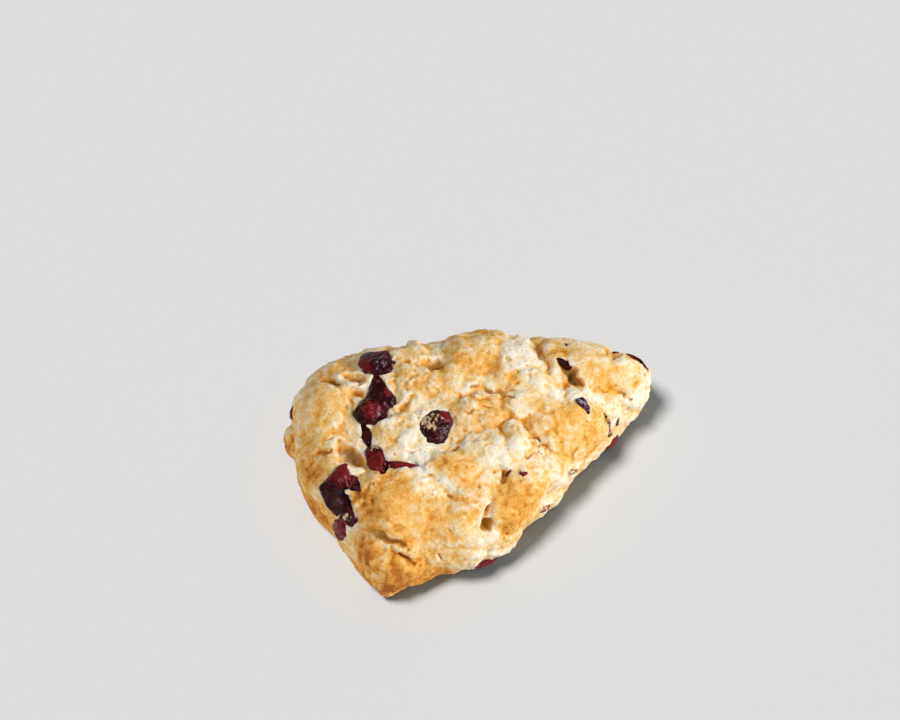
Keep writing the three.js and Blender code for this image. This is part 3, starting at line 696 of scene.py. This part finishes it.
# Finer relief that the crust has over the form, also as sizes with their heights: ragged edges,
# clods of dough with creases between them, a crumbly grain, thin flakes that lap, and torn pits. The
# clods are lowered by their mean height, so that they leave the skin where it is.
RAGGED_SIZE, RAGGED_REACH = 2.3, 0.85
CLODS = ((6.5, 1.2), (3.1, 0.28))
CLOD_MEAN = 0.3
CRUMBLE = ((3, 0.35), (1.5, 0.22), (0.9, 0.16))
HOLLOW_CRUMBLE_SIZE, HOLLOW_CRUMBLE = 1.5, 0.3
FLAKES = ((12, 2.2), (3.5, 0.8), (1.3, 0.3))
FLAKE_HEIGHT = 0.3
TORN_SIZE, TORN_FROM, TORN_DEPTH = 2.1, 0.6, 2.4

# Cracks in the top crust, each a line of points that it runs through, its width and its depth.
CRACKS = (
    (((-21, -8), (-17, -7), (-13, -8), (-9, -9)), 0.59, 1.12),
    (((-4, 1), (-2, 1), (3, 1)), 0.42, 0.7),
    (((33, -3), (36, -3), (39, -4), (42, -4), (44, -6), (46, -8)), 0.68, 0.98),
    (((8, -10), (9, -12), (13, -12), (14, -14)), 0.42, 0.84),
    (((7, -15), (8, -17), (10, -17), (12, -17)), 0.51, 0.91),
    (((16, -14), (14, -16)), 0.42, 0.7),
    (((25, -18), (23, -19), (22, -20)), 0.42, 0.7),
    (((-5, 10), (0, 9), (3, 9), (5, 6), (8, 5), (10, 2), (13, 0)), 0.59, 0.84),
    (((-46, -20), (-45, -23), (-46, -26)), 0.51, 0.84),
    (((-38, -29), (-36, -31), (-35, -32), (-34, -34)), 0.59, 1.05),
    (((-50, 7), (-48, 6), (-45, 5)), 0.42, 0.84),
    (((-9, 24), (-6, 21), (-3, 17)), 0.51, 0.84),
    (((-18, 25), (-14, 24), (-10, 21), (-9, 18)), 0.51, 0.84),
    (((-7, -3), (-5, -5)), 0.42, 0.63),
    (((-26, -4), (-23, -5), (-22, -5)), 0.42, 0.63),
    (((-18, -19), (-17, -22), (-14, -25), (-10, -23)), 0.51, 0.84),
    (((8, 15), (10, 12), (11, 9)), 0.59, 0.56),
    (((15, 9), (15, 6), (15, 3)), 0.68, 0.56),
    (((-47, 34), (-42, 30), (-38, 25), (-37, 20), (-36, 16)), 0.59, 0.98),
    (((-42, 5), (-41, 1), (-41, -3)), 0.51, 0.84),
    (((45, 8), (45, 4), (49, 5)), 0.51, 0.84),
    (((-47, -18), (-44, -16), (-42, -13), (-39, -10)), 0.59, 0.84),
    (((-3, -18), (-2, -20), (-1, -23)), 0.42, 0.7),
)

# How high up the cracks are, how far one may reach from its middle, how they bend, and where they
# break off. Then how much painted shade a crack's depth gives it, and the depth of the darkest hollow.
CRACKS_ABOVE, CRACK_SPAN = 15, 14
CRACK_BENDS = ((2.4, 1.1), (1, 0.6))
BREAK_SIZE, BREAK_MEAN, BREAK_SWING = 2, 0.3, 1.8
CRACK_SHADING, DARKEST_SHADE_DEPTH = 1.1, 4

# Where the crust baked whole, without crumbs or creases: the place and how wide.
SMOOTH_SPOTS = (
    ((-45, 21, 29), 10),
    ((-33, -18, 31), 11),
    ((-40, -34, 14), 9),
    ((40, 8, 29), 14),
    ((49, -2, 23), 8),
    ((-56, -2, 14), 13),
)

# How much of the relief is missing there, and how steeply it comes back at the edge.
SMOOTH_SHARE, SMOOTH_EDGE = 0.6, 1.6

# The foot of the rim faced the hot wall and baked browner: how high up, from where along the wedge,
# over what length that comes in, and how much browner. Then how all the browning wanders.
RIM_FOOT, RIM_FROM, RIM_FADE, RIM_BROWN = 22, -36, 8, 0.4
BROWN_WANDER = ((12, 0.12), (5, 0.16))

# The pockets: how far their edge stands off a fruit, which is less than nothing because the dough
# grips it, how that edge wavers and frays, how far round a fruit the dough is cut for it, and the
# collar that rises there.
POCKET_GAP = -0.55
POCKET_EDGE = ((2.4, 0.4), (1.1, 0.55))
POCKET_ROOM = 3
COLLAR_RISE, COLLAR_REACH = 0.35, 1.7
COLLAR_SIZE, COLLAR_MEAN = 4, 0.4

# What the tray left underneath: its dimples, and how brown it is and how far up that goes.
DIMPLE_SIZE, DIMPLE_DEPTH = 3, 0.3
TRAY_BROWN, TRAY_FULL, TRAY_REACH = 0.85, 1.2, 1.5

# Where the crust baked paler or browner than the lump it lies on: the place, how wide, the change.
TONE_SPOTS = (
    ((-24, -9, 31), 6, -0.45),
    ((-23.5, -14, 31), 5, -0.35),
    ((17, 12, 31), 5, -0.15),
    ((-12, -33, 17), 5, -0.25),
    ((-17, -19, 29), 4, -0.45),
    ((-8, -30, 14), 6, -0.45),
    ((-22.5, -18.5, 30), 6, -0.3),
    ((-33, -21, 31), 5, -0.12),
    ((-5, -20, 28.5), 4.5, -0.2),
    ((-2, 8, 31), 6, -0.15),
    ((24.5, -2, 30), 6, -0.2),
    ((-10, 17, 32), 4, -0.12),
    ((-47.5, 22, 29), 9, 0.12),
    ((-50, 5, 24), 8, 0.15),
    ((-31, 3.5, 31), 5, 0.15),
    ((-17, -12, 32), 4, 0.2),
    ((-11, -1.5, 31), 3.5, 0.2),
    ((7, -9, 33), 6, 0.3),
    ((38, -1.5, 28), 7, 0.2),
    # These two darken the valley beside the slit fruit to amber, partly its own colour, partly painted
    # shade.
    ((31, 2, 26.5), 4.5, 0.75),
    ((28.5, 10.5, 27), 4.5, 0.45),
    ((-10.6, -28.4, 17.4), 4.5, 0.6),
    ((-28, -32, 19), 6, 0.2),
    ((6, -29.5, 14), 5, 0.2),
    ((19, -21, 23), 5, 0.2),
    ((-44.5, -11.5, 28.5), 4, 0.5),
    ((-41, -35, 3), 11, 0.25),
    ((-45.5, -33, 8), 7, 0.2),
    ((-46, -30, 12), 8, 0.3),
    ((-43.5, -33, 16), 5, 0.25),
    ((-53, -6, 17), 9, 0.2),
    ((-46, -26, 20), 5, 0.15),
)

# How full the middle of such a place is, and how its edge wanders.
TONE_EDGE, TONE_WANDER_SIZE, TONE_WANDER = 1.2, 3, 1.5

# Where cranberry juice soaked into the crumb: the place and how wide. Then how steep its edge is,
# how far it soaks in round every fruit, and how patchy it is.
JUICE_SPOTS = (((-40.5, 2, 27), 5), ((32, 2, 27), 2.5))
JUICE_EDGE = 1.5
JUICE_REACH = 0.5
JUICE_PATCH_SIZE, JUICE_MEAN = 2.2, 0.7

# Where butter melted and fried the crumb to a clear amber: the place and how wide.
BUTTER_SPOTS = (
    ((13.5, 6.8, 31.5), 3.2),
    ((10.2, 12, 31.5), 2.6),
    ((23, 14.5, 28), 3.2),
    ((41, -4.2, 26), 3.5),
    ((-10.6, -28.4, 17.4), 4.5),
)
BUTTER_EDGE, BUTTER_WANDER_SIZE = 1.3, 2

# Bits of dough that stayed stuck over a cranberry: the place and half the size. Then how flat and
# how ragged they are, and how many half sizes are searched for their skin.
DOUGH_BITS = (
    ((-42.9, -12.3, 27.8), 2.4),
    ((-44.6, -11, 28.1), 1.6),
    ((-46.2, -9.4, 28.3), 0.9),
    ((29.1, -7.9, 28.3), 1.1),
)
BIT_FLATNESS = 1.7
BIT_RAGS = ((1.5, 0.45), (0.8, 0.25))
BIT_ROOM = 2

# The block of space that the skin is worked out in, the spacing of its first grid, how close to the
# skin each finer grid, of half the spacing, is worked out in full, and how fine the mesh stays.
BLOCK_LOW, BLOCK_HIGH = np.array((-62.4, -44.8, -3.2)), (64, 46, 40)
COARSE_STEP = 1.6
BANDS = (3.4, 1.2)
DOUGH_TRIANGLES = 190000


def spot_share(p, spot, width, full, fall=1):
    """How much a spot counts at each point: 1 at its middle, and 0 from about its width on."""
    return np.clip(full - fall * np.linalg.norm(p - spot, axis=1) / width, 0, 1)


def line_distance(p, points):
    """Distance in plan to a line through the points."""
    nearest = np.full(len(p), np.inf)
    for start, end in zip(np.array(points[:-1], float), np.array(points[1:], float)):
        leg = end - start
        offset = p[:, :2] - start
        along = np.clip(offset @ leg / (leg @ leg), 0, 1)
        nearest = np.minimum(nearest, np.linalg.norm(offset - along[:, None] * leg, axis=1))
    return nearest


def crust(p):
    """The finished skin: signed depth, how brown, and the painted shade in its cracks and hollows."""
    ragged = shaken(p, RAGGED_SIZE, RAGGED_REACH, (41, 42, 43))
    raised, brown, pit = relief(ragged)
    depth = wedge_depth(p) - raised + rumple(p, GRAIN, GRAIN_SEEDS)
    rough = np.ones(len(p))
    for spot, width in SMOOTH_SPOTS:
        whole = spot_share(ragged, spot, width, SMOOTH_EDGE, SMOOTH_EDGE)
        rough = np.minimum(rough, 1 - SMOOTH_SHARE * whole)
    for n, (size, height) in enumerate(CLODS):
        depth -= rough * height * (np.abs(noise(ragged, size, 24 + n)) - CLOD_MEAN)
    for n, (size, height) in enumerate(CRUMBLE):
        depth += rough * height * noise(ragged, size, 44 + n)
    flake = rumple(p, FLAKES, (30, 31, 32))
    depth += rough * FLAKE_HEIGHT * (flake - np.floor(flake) - 0.5)
    depth += HOLLOW_CRUMBLE * pit * noise(ragged, HOLLOW_CRUMBLE_SIZE, 48)
    torn = rough * np.clip(noise(ragged, TORN_SIZE, 33) - TORN_FROM, 0, 1)
    depth += TORN_DEPTH * torn
    crack = np.zeros(len(p))
    bend = [rumple(p, CRACK_BENDS, seeds) for seeds in ((34, 36), (35, 37))]
    bent = p + np.stack([*bend, np.zeros(len(p))], 1)
    broken = np.clip(BREAK_MEAN + BREAK_SWING * noise(p, BREAK_SIZE, 38), 0, 1)
    top = p[:, 2] > CRACKS_ABOVE
    for points, width, deep in CRACKS:
        near = top & (np.abs(p[:, :2] - np.mean(points, 0)).max(1) < CRACK_SPAN)
        line = deep * broken[near] * np.exp(-((line_distance(bent[near], points) / width) ** 2))
        crack[near] = np.maximum(crack[near], line)
    depth += crack
    brown = rumple(p, BROWN_WANDER, (21, 22), brown)
    foot = np.clip(1 - p[:, 2] / RIM_FOOT, 0, 1) * np.clip((RIM_FROM - p[:, 0]) / RIM_FADE, 0, 1)
    # Cracks and torn pits get painted shade, and so do hollows, darker the deeper they are.
    crack_shade = np.clip(CRACK_SHADING * crack + torn, 0, 1)
    return depth, brown + RIM_BROWN * foot, crack_shade, np.clip(pit / DARKEST_SHADE_DEPTH, 0, 1)


def skin_depth(p):
    """Signed distance to the baked skin, without the cranberries' pockets."""
    depth = crust(p)[0]
    swell = COLLAR_RISE * (COLLAR_MEAN + noise(p, COLLAR_SIZE, 52))
    for berry in cranberries:
        near = berry.near(p)
        depth[near] -= swell[near] * np.exp(-((berry.depth(p[near]) / COLLAR_REACH) ** 2))
    return rounded_edge(depth, DIMPLE_DEPTH * (1 + noise(p, DIMPLE_SIZE, 50)) - p[:, 2], FOOT)


def doubled(values):
    """The same depths on a grid of half the spacing."""
    for axis in range(3):
        values = np.moveaxis(values, axis, 0)
        finer = np.empty((2 * len(values) - 1, *values.shape[1:]))
        finer[::2] = values
        finer[1::2] = (values[1:] + values[:-1]) / 2
        values = np.moveaxis(finer, 0, axis)
    return values


def block_round(middle, reach, low, step, shape):
    """The part of a grid round a place, and where the points of that part lie."""
    first = np.maximum((np.array(middle) - reach - low) // step, 0).astype(int)
    last = np.minimum((np.array(middle) + reach - low) // step, shape).astype(int)
    block = tuple(slice(a, b) for a, b in zip(first, last))
    return block, np.stack(np.mgrid[block], -1).reshape(-1, 3) * step + low


def sample_skin(low, high):
    """Signed depths on a grid, worked out in full only near the skin, and the grid's spacing."""
    step = COARSE_STEP
    axes = [np.arange(a, b, step) for a, b in zip(low, high)]
    grid = np.stack(np.meshgrid(*axes, indexing="ij"), -1)
    values = form_depth(grid.reshape(-1, 3)).reshape(grid.shape[:3])
    for band in BANDS:
        step /= 2
        values = doubled(values)
        near = np.argwhere(np.abs(values) < band)
        values[tuple(near.T)] = skin_depth(low + near * step)
    for berry in cranberries:
        block, spots = block_round(berry.middle, berry.size + POCKET_ROOM, low, step, values.shape)
        gap = rumple(spots, POCKET_EDGE, (51, 53), POCKET_GAP)
        pocket = (gap - berry.depth(spots, True)).reshape(values[block].shape)
        values[block] = np.maximum(values[block], pocket)
    for at, half in DOUGH_BITS:
        block, spots = block_round(at, BIT_ROOM * half, low, step, values.shape)
        ragged = half * rumple(spots, BIT_RAGS, (57, 58), 1)
        flat = (spots - at) * (1, 1, BIT_FLATNESS)
        bit = (np.linalg.norm(flat, axis=1) - ragged).reshape(values[block].shape)
        values[block] = np.minimum(values[block], bit)
    return values, step


def net_over(values, low, step):
    """Quads round every place where the values change sign, with one corner in each such cell."""
    inside = values < 0
    count = np.zeros(np.array(values.shape) - 1, int)
    for corner in np.ndindex(2, 2, 2):
        count += inside[tuple(slice(c, n - 1 + c) for c, n in zip(corner, values.shape))]
    cells = np.argwhere((count > 0) & (count < 8))
    number = np.full(count.shape, -1)
    number[tuple(cells.T)] = np.arange(len(cells))
    total, crossings = np.zeros((len(cells), 3)), np.zeros(len(cells))
    for start in np.ndindex(2, 2, 2):
        for axis in range(3):
            if start[axis]:
                continue
            ahead = np.eye(3, dtype=int)[axis]
            a = values[tuple((cells + start).T)]
            b = values[tuple((cells + start + ahead).T)]
            crossed = (a < 0) != (b < 0)
            share = np.where(crossed, a / np.where(crossed, a - b, 1), 0)
            total += (start + share[:, None] * ahead) * crossed[:, None]
            crossings += crossed
    corners = (cells + total / crossings[:, None]) * step + low
    quads = []
    for axis in range(3):
        along, u, v = np.roll(np.eye(3, dtype=int), -axis, 0)
        ahead = tuple(slice(s, None) for s in along)
        behind = tuple(slice(None, n - s) for s, n in zip(along, values.shape))
        edges = np.argwhere(inside[behind] != inside[ahead])
        leaves = inside[tuple(edges.T)]
        quad = np.stack([number[tuple((edges - back).T)] for back in (u + v, v, 0 * u, u)], 1)
        quad[~leaves] = quad[~leaves][:, ::-1]
        quads.append(quad)
    return corners, np.concatenate(quads)


depths, step = sample_skin(BLOCK_LOW, BLOCK_HIGH)
corners, quads = net_over(depths, BLOCK_LOW, step)
full_mesh = bpy.data.meshes.new("dough_skin")
full_mesh.from_pydata((corners * MM).tolist(), [], quads.tolist())

# Flat places need fewer triangles than torn ones.
draft = bpy.data.objects.new("draft", full_mesh)
bpy.context.scene.collection.objects.link(draft)
thin = draft.modifiers.new("thin", "DECIMATE")
thin.ratio = min(1, DOUGH_TRIANGLES / (2 * len(quads)))
thinned = draft.evaluated_get(bpy.context.evaluated_depsgraph_get())
crust_mesh = bpy.data.meshes.new_from_object(thinned)
bpy.data.objects.remove(draft)

places = rows_of(crust_mesh.vertices, "co", 3) / MM
normals = rows_of(crust_mesh.vertices, "normal", 3)
edges = rows_of(crust_mesh.edges, "vertices", 2, int)


def relaxed(values, rounds):
    """Values at the corners of the mesh, each evened out with its neighbours' over so many rounds."""
    ends = np.concatenate([edges, edges[:, ::-1]])
    neighbours = np.bincount(ends[:, 0], minlength=len(values))
    for _ in range(rounds):
        total = np.stack([np.bincount(ends[:, 0], v[ends[:, 1]], len(v)) for v in values.T], 1)
        values = total / neighbours[:, None]
    return values


# How far each spot lies under its surroundings, within about one and about three millimetres. The
# crust's colour is painted darker in these nooks and dips, as shade, and paler where it stands out.
NOOK_ROUNDS, DIP_ROUNDS = 6, 40
NOOK_LIMITS = (-0.3, 0.8)
nooks = ((relaxed(places, NOOK_ROUNDS) - places) * normals).sum(1)
dips = ((relaxed(places, DIP_ROUNDS) - places) * normals).sum(1)

_, brown, crack_shade, sunken_shade = crust(places)
underside = np.clip(TRAY_FULL - places[:, 2] / TRAY_REACH, 0, 1)
brown = brown * (1 - underside) + TRAY_BROWN * underside
strayed = places + TONE_WANDER * noise(places, TONE_WANDER_SIZE, 56)[:, None]
for spot, width, change in TONE_SPOTS:
    brown += change * spot_share(strayed, spot, width, TONE_EDGE)
juicy = np.zeros(len(places))
for berry in cranberries:
    near = berry.near(places)
    gap = np.maximum(berry.depth(places[near]), 0)
    juicy[near] = np.maximum(juicy[near], np.exp(-gap / JUICE_REACH))
for spot, width in JUICE_SPOTS:
    juicy = np.maximum(juicy, spot_share(places, spot, width, JUICE_EDGE, JUICE_EDGE))
juicy *= np.clip(JUICE_MEAN + noise(places, JUICE_PATCH_SIZE, 54), 0, 1)
buttery = np.zeros(len(places))
strayed = places + noise(places, BUTTER_WANDER_SIZE, 55)[:, None]
for spot, width in BUTTER_SPOTS:
    buttery = np.maximum(buttery, spot_share(strayed, spot, width, BUTTER_EDGE))
layers = {
    "brown": brown,
    "crack_shade": crack_shade,
    "sunken_shade": sunken_shade,
    # Painted shade for the colour: darker in nooks and dips, paler on what stands out.
    "nook_shade": np.clip(nooks, *NOOK_LIMITS),
    "dip_shade": dips,
    "juicy": juicy,
    "buttery": buttery,
}
for name, values in layers.items():
    keep_layer(crust_mesh, name, values)

# Baked scone crust: matt and floury where it is pale, golden where butter fried its high spots. The
# dips are painted a deeper amber than the crumbs that stand up, as painted shade. The grit of the
# crumb is really finer than 0.9 mm, and is drawn that coarse so that it shows.
baked_dough = new_material("baked_dough")
place = add_node(baked_dough, "ShaderNodeTexCoord").outputs["Object"]
read = {
    name: add_node(baked_dough, "ShaderNodeAttribute", attribute_name=name).outputs["Fac"]
    for name in layers
}
broad, mottle, speck, grit = (
    add_node(
        baked_dough,
        "ShaderNodeTexNoise",
        {"Vector": place, "Scale": per_metre(size), "Detail": detail, "Roughness": 0.65},
    ).outputs["Fac"]
    for size, detail in ((5.5, 3), (2.3, 4), (0.75, 3), (0.9, 5))
)

# The tone runs from 0, raw cream, to 1, deep amber, and each of these adds its share to it. The
# nook and dip shares are painted shade.
tone = -0.96
shares = (
    (read["brown"], 0.95),
    (broad, 0.72),
    (mottle, 0.83),
    (speck, 0.65),
    (read["nook_shade"], 0.7),
    (read["dip_shade"], 0.16),
)
for value, share in shares:
    tone = add_node(
        baked_dough,
        "ShaderNodeMath",
        {0: value, 1: share, 2: tone},
        operation="MULTIPLY_ADD",
    ).outputs[0]
crust_colour = add_node(
    baked_dough,
    "ShaderNodeValToRGB",
    {"Fac": tone},
    stops=(
        (0.0, "#fdf4de"),
        (0.2, "#fde9c8"),
        (0.4, "#f9d395"),
        (0.58, "#f5bb5e"),
        (0.78, "#e89f42"),
        (1.0, "#ba6e24"),
    ),
).outputs["Color"]

# Pinholes where steam broke through are browner. Cracks, torn pits and hollows are darkened as
# painted shade. Butter fries the crumb to amber, and juice stains it.
pinholes = add_node(
    baked_dough,
    "ShaderNodeTexVoronoi",
    {"Vector": place, "Scale": per_metre(2.2)},
).outputs["Distance"]
pinholes = add_node(
    baked_dough,
    "ShaderNodeMath",
    {0: mottle, 1: 0.6, 2: pinholes},
    operation="MULTIPLY_ADD",
).outputs[0]
washes = (
    (pinholes, 0.5, 0.36, 0.6, "#c9822e"),
    # Painted shade in the cracks and torn pits.
    (read["crack_shade"], 0.15, 0.85, 0.85, "#b8762c"),
    # Painted shade in the hollows, darker the deeper they lie.
    (read["sunken_shade"], 0.25, 0.85, 0.8, "#94703c"),
    (read["buttery"], 0.1, 0.9, 0.8, "#f6b034"),
    (read["juicy"], 0.35, 1.0, 0.35, "#8a4a44"),
)
for value, low, high, most, colour in washes:
    share = add_node(
        baked_dough,
        "ShaderNodeMapRange",
        {"Value": value, "From Min": low, "From Max": high, "To Min": 0, "To Max": most},
    ).outputs["Result"]
    crust_colour = add_node(
        baked_dough,
        "ShaderNodeMix",
        {0: share, 6: crust_colour, 7: linear(colour)},
        data_type="RGBA",
    ).outputs[2]

# The open pores and the grit of the crumb.
pores = add_node(
    baked_dough,
    "ShaderNodeTexVoronoi",
    {"Vector": place, "Scale": per_metre(1.3)},
).outputs["Distance"]
bumpy = add_node(
    baked_dough,
    "ShaderNodeMath",
    {0: pores, 1: 0.7, 2: grit},
    operation="MULTIPLY_ADD",
).outputs[0]
crumb_bump = add_node(
    baked_dough,
    "ShaderNodeBump",
    {"Height": bumpy, "Strength": 0.5, "Distance": 0.5 * MM},
).outputs["Normal"]
dough_surface = add_node(
    baked_dough,
    "ShaderNodeBsdfPrincipled",
    {
        "Base Color": crust_colour,
        "Roughness": 0.85,
        "Normal": crumb_bump,
        "IOR": 1.4,
        "Specular IOR Level": 0.25,
        "Subsurface Weight": 0.1,
        "Subsurface Radius": (1.0, 0.55, 0.25),
        "Subsurface Scale": 0.8 * MM,
    },
)
add_node(baked_dough, "ShaderNodeOutputMaterial", {"Surface": dough_surface.outputs[0]})

crust_piece = show(crust_mesh, baked_dough, "dough_crust")
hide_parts("dough")


# ------------------------------------------------------------------------------------------------
# The crumbs: loose bits that broke from the crust when the scone was pulled from its round, and
# that lie where they fell on its top.

# How many there are, half their size, how uneven they are, and how brown. They come to rest where
# the crust faces up at least this much.
CRUMBS = 36
CRUMB_SIZES, CRUMB_UNEVEN = (0.16, 0.42), (0.7, 1.3)
CRUMB_LUMP_SIZE, CRUMB_LUMP = 0.7, 0.35
CRUMB_FINENESS = 2
CRUMB_BROWN = 0.45
UPWARD_ENOUGH = 0.35

chance = np.random.default_rng(7)
upward = np.flatnonzero(normals[:, 2] > UPWARD_ENOUGH)
landed = places[chance.choice(upward, CRUMBS, replace=False)]

ball = ball_mesh(CRUMB_FINENESS)
ball_corners = rows_of(ball.vertices, "co", 3)
ball_faces = np.array([face.vertices for face in ball.polygons])
crumb_corners, crumb_faces = [], []
for n, at in enumerate(landed):
    half = chance.uniform(*CRUMB_SIZES) * chance.uniform(*CRUMB_UNEVEN, 3)
    lumpy = 1 + CRUMB_LUMP * noise(ball_corners, CRUMB_LUMP_SIZE, 200 + n)[:, None]
    crumb_corners.append(at + ball_corners * lumpy * half)
    crumb_faces.append(ball_faces + n * len(ball_corners))
crumb_mesh = bpy.data.meshes.new("crumbs")
crumb_mesh.from_pydata(
    (np.concatenate(crumb_corners) * MM).tolist(), [], np.concatenate(crumb_faces).tolist()
)
keep_layer(crumb_mesh, "brown", np.full(len(crumb_mesh.vertices), CRUMB_BROWN))
crumb_piece = show(crumb_mesh, baked_dough, "crumbs")


# ------------------------------------------------------------------------------------------------
# The table: a plain board painted a matt pale grey, that runs back on every side until it meets the
# pale wall of the room. Lengths in this section and the next are metres.

TABLE_WIDTH = 60

bpy.ops.mesh.primitive_plane_add(size=TABLE_WIDTH)
table = bpy.context.object
table.name = "table"

# Matt pale paint: it takes soft shadows and shows no gloss.
pale_board = new_material("pale_board")
board_surface = add_node(
    pale_board,
    "ShaderNodeBsdfPrincipled",
    {"Base Color": linear("#adb8c3"), "Roughness": 0.95, "Specular IOR Level": 0},
)
add_node(pale_board, "ShaderNodeOutputMaterial", {"Surface": board_surface.outputs[0]})
table.data.materials.append(pale_board)


# ------------------------------------------------------------------------------------------------
# The studio: an even pale room, a soft window light on the tip's side that the scone alone catches,
# with a weaker one from the rim's side, and a lamp behind it that shades the table. The far wall
# looks as pale as the table, though the light it gives the scone is dim.

ROOM_LIGHT = 0.28
WALL_GLOW = 0.72

scene = bpy.context.scene
scene.view_settings.view_transform = "Standard"
room = bpy.data.worlds.new("pale_room")
room.use_nodes = True
seen = add_node(room, "ShaderNodeLightPath").outputs["Is Camera Ray"]
glow = add_node(
    room,
    "ShaderNodeMath",
    {0: seen, 1: WALL_GLOW - ROOM_LIGHT, 2: ROOM_LIGHT},
    operation="MULTIPLY_ADD",
).outputs[0]
room.node_tree.links.new(glow, room.node_tree.nodes["Background"].inputs["Strength"])
room.node_tree.nodes["Background"].inputs["Color"].default_value = linear("#ffffff")
scene.world = room


def direction_to(azimuth, elevation):
    """The direction from the scone to a place at these angles, with azimuth 0 in front of it."""
    a, e = math.radians(azimuth), math.radians(elevation)
    return Vector((math.sin(a) * math.cos(e), -math.cos(a) * math.cos(e), math.sin(e)))


LAMP_DISTANCE = 0.9


def hang_lamp(name, kind, azimuth, elevation, power, lit, **settings):
    """Hangs a lamp that points at the scone and lights only the pieces given."""
    lamp = bpy.data.lights.new(name, kind)
    lamp.energy = power
    for setting, value in settings.items():
        setattr(lamp, setting, value)
    hung = bpy.data.objects.new(name, lamp)
    hung.location = direction_to(azimuth, elevation) * LAMP_DISTANCE
    hung.rotation_euler = (-direction_to(azimuth, elevation)).to_track_quat("-Z", "Y").to_euler()
    scene.collection.objects.link(hung)
    group = bpy.data.collections.new(name + "_lights")
    for piece in lit:
        group.objects.link(piece)
    hung.light_linking.receiver_collection = group


scone_pieces = [o for o in scene.objects if o.type == "MESH" and o is not table]
hang_lamp("window", "AREA", 62, 36, 6.8, scone_pieces, size=0.35)
hang_lamp("bounce", "AREA", -70, 36, 2.2, scone_pieces, size=0.6)
sun_colour = linear("#ffeddd")[:3]
hang_lamp("table_lamp", "SUN", 258, 71, 4.82, [table], angle=math.radians(15), color=sun_colour)

CAMERA_AZIMUTH, CAMERA_ELEVATION = -21, 62
CAMERA_DISTANCE = 0.77
AIM = Vector((-0.00122, 0.02261, 0.02599))

view = bpy.data.cameras.new("camera")
view.lens = 100
view.sensor_width = 36  # lens and sensor are in millimetres, as cameras state them
camera = bpy.data.objects.new("camera", view)
camera.location = AIM + direction_to(CAMERA_AZIMUTH, CAMERA_ELEVATION) * CAMERA_DISTANCE
camera.rotation_euler = (
    math.radians(90 - CAMERA_ELEVATION),
    0,
    math.radians(CAMERA_AZIMUTH),
)
scene.collection.objects.link(camera)
scene.camera = camera
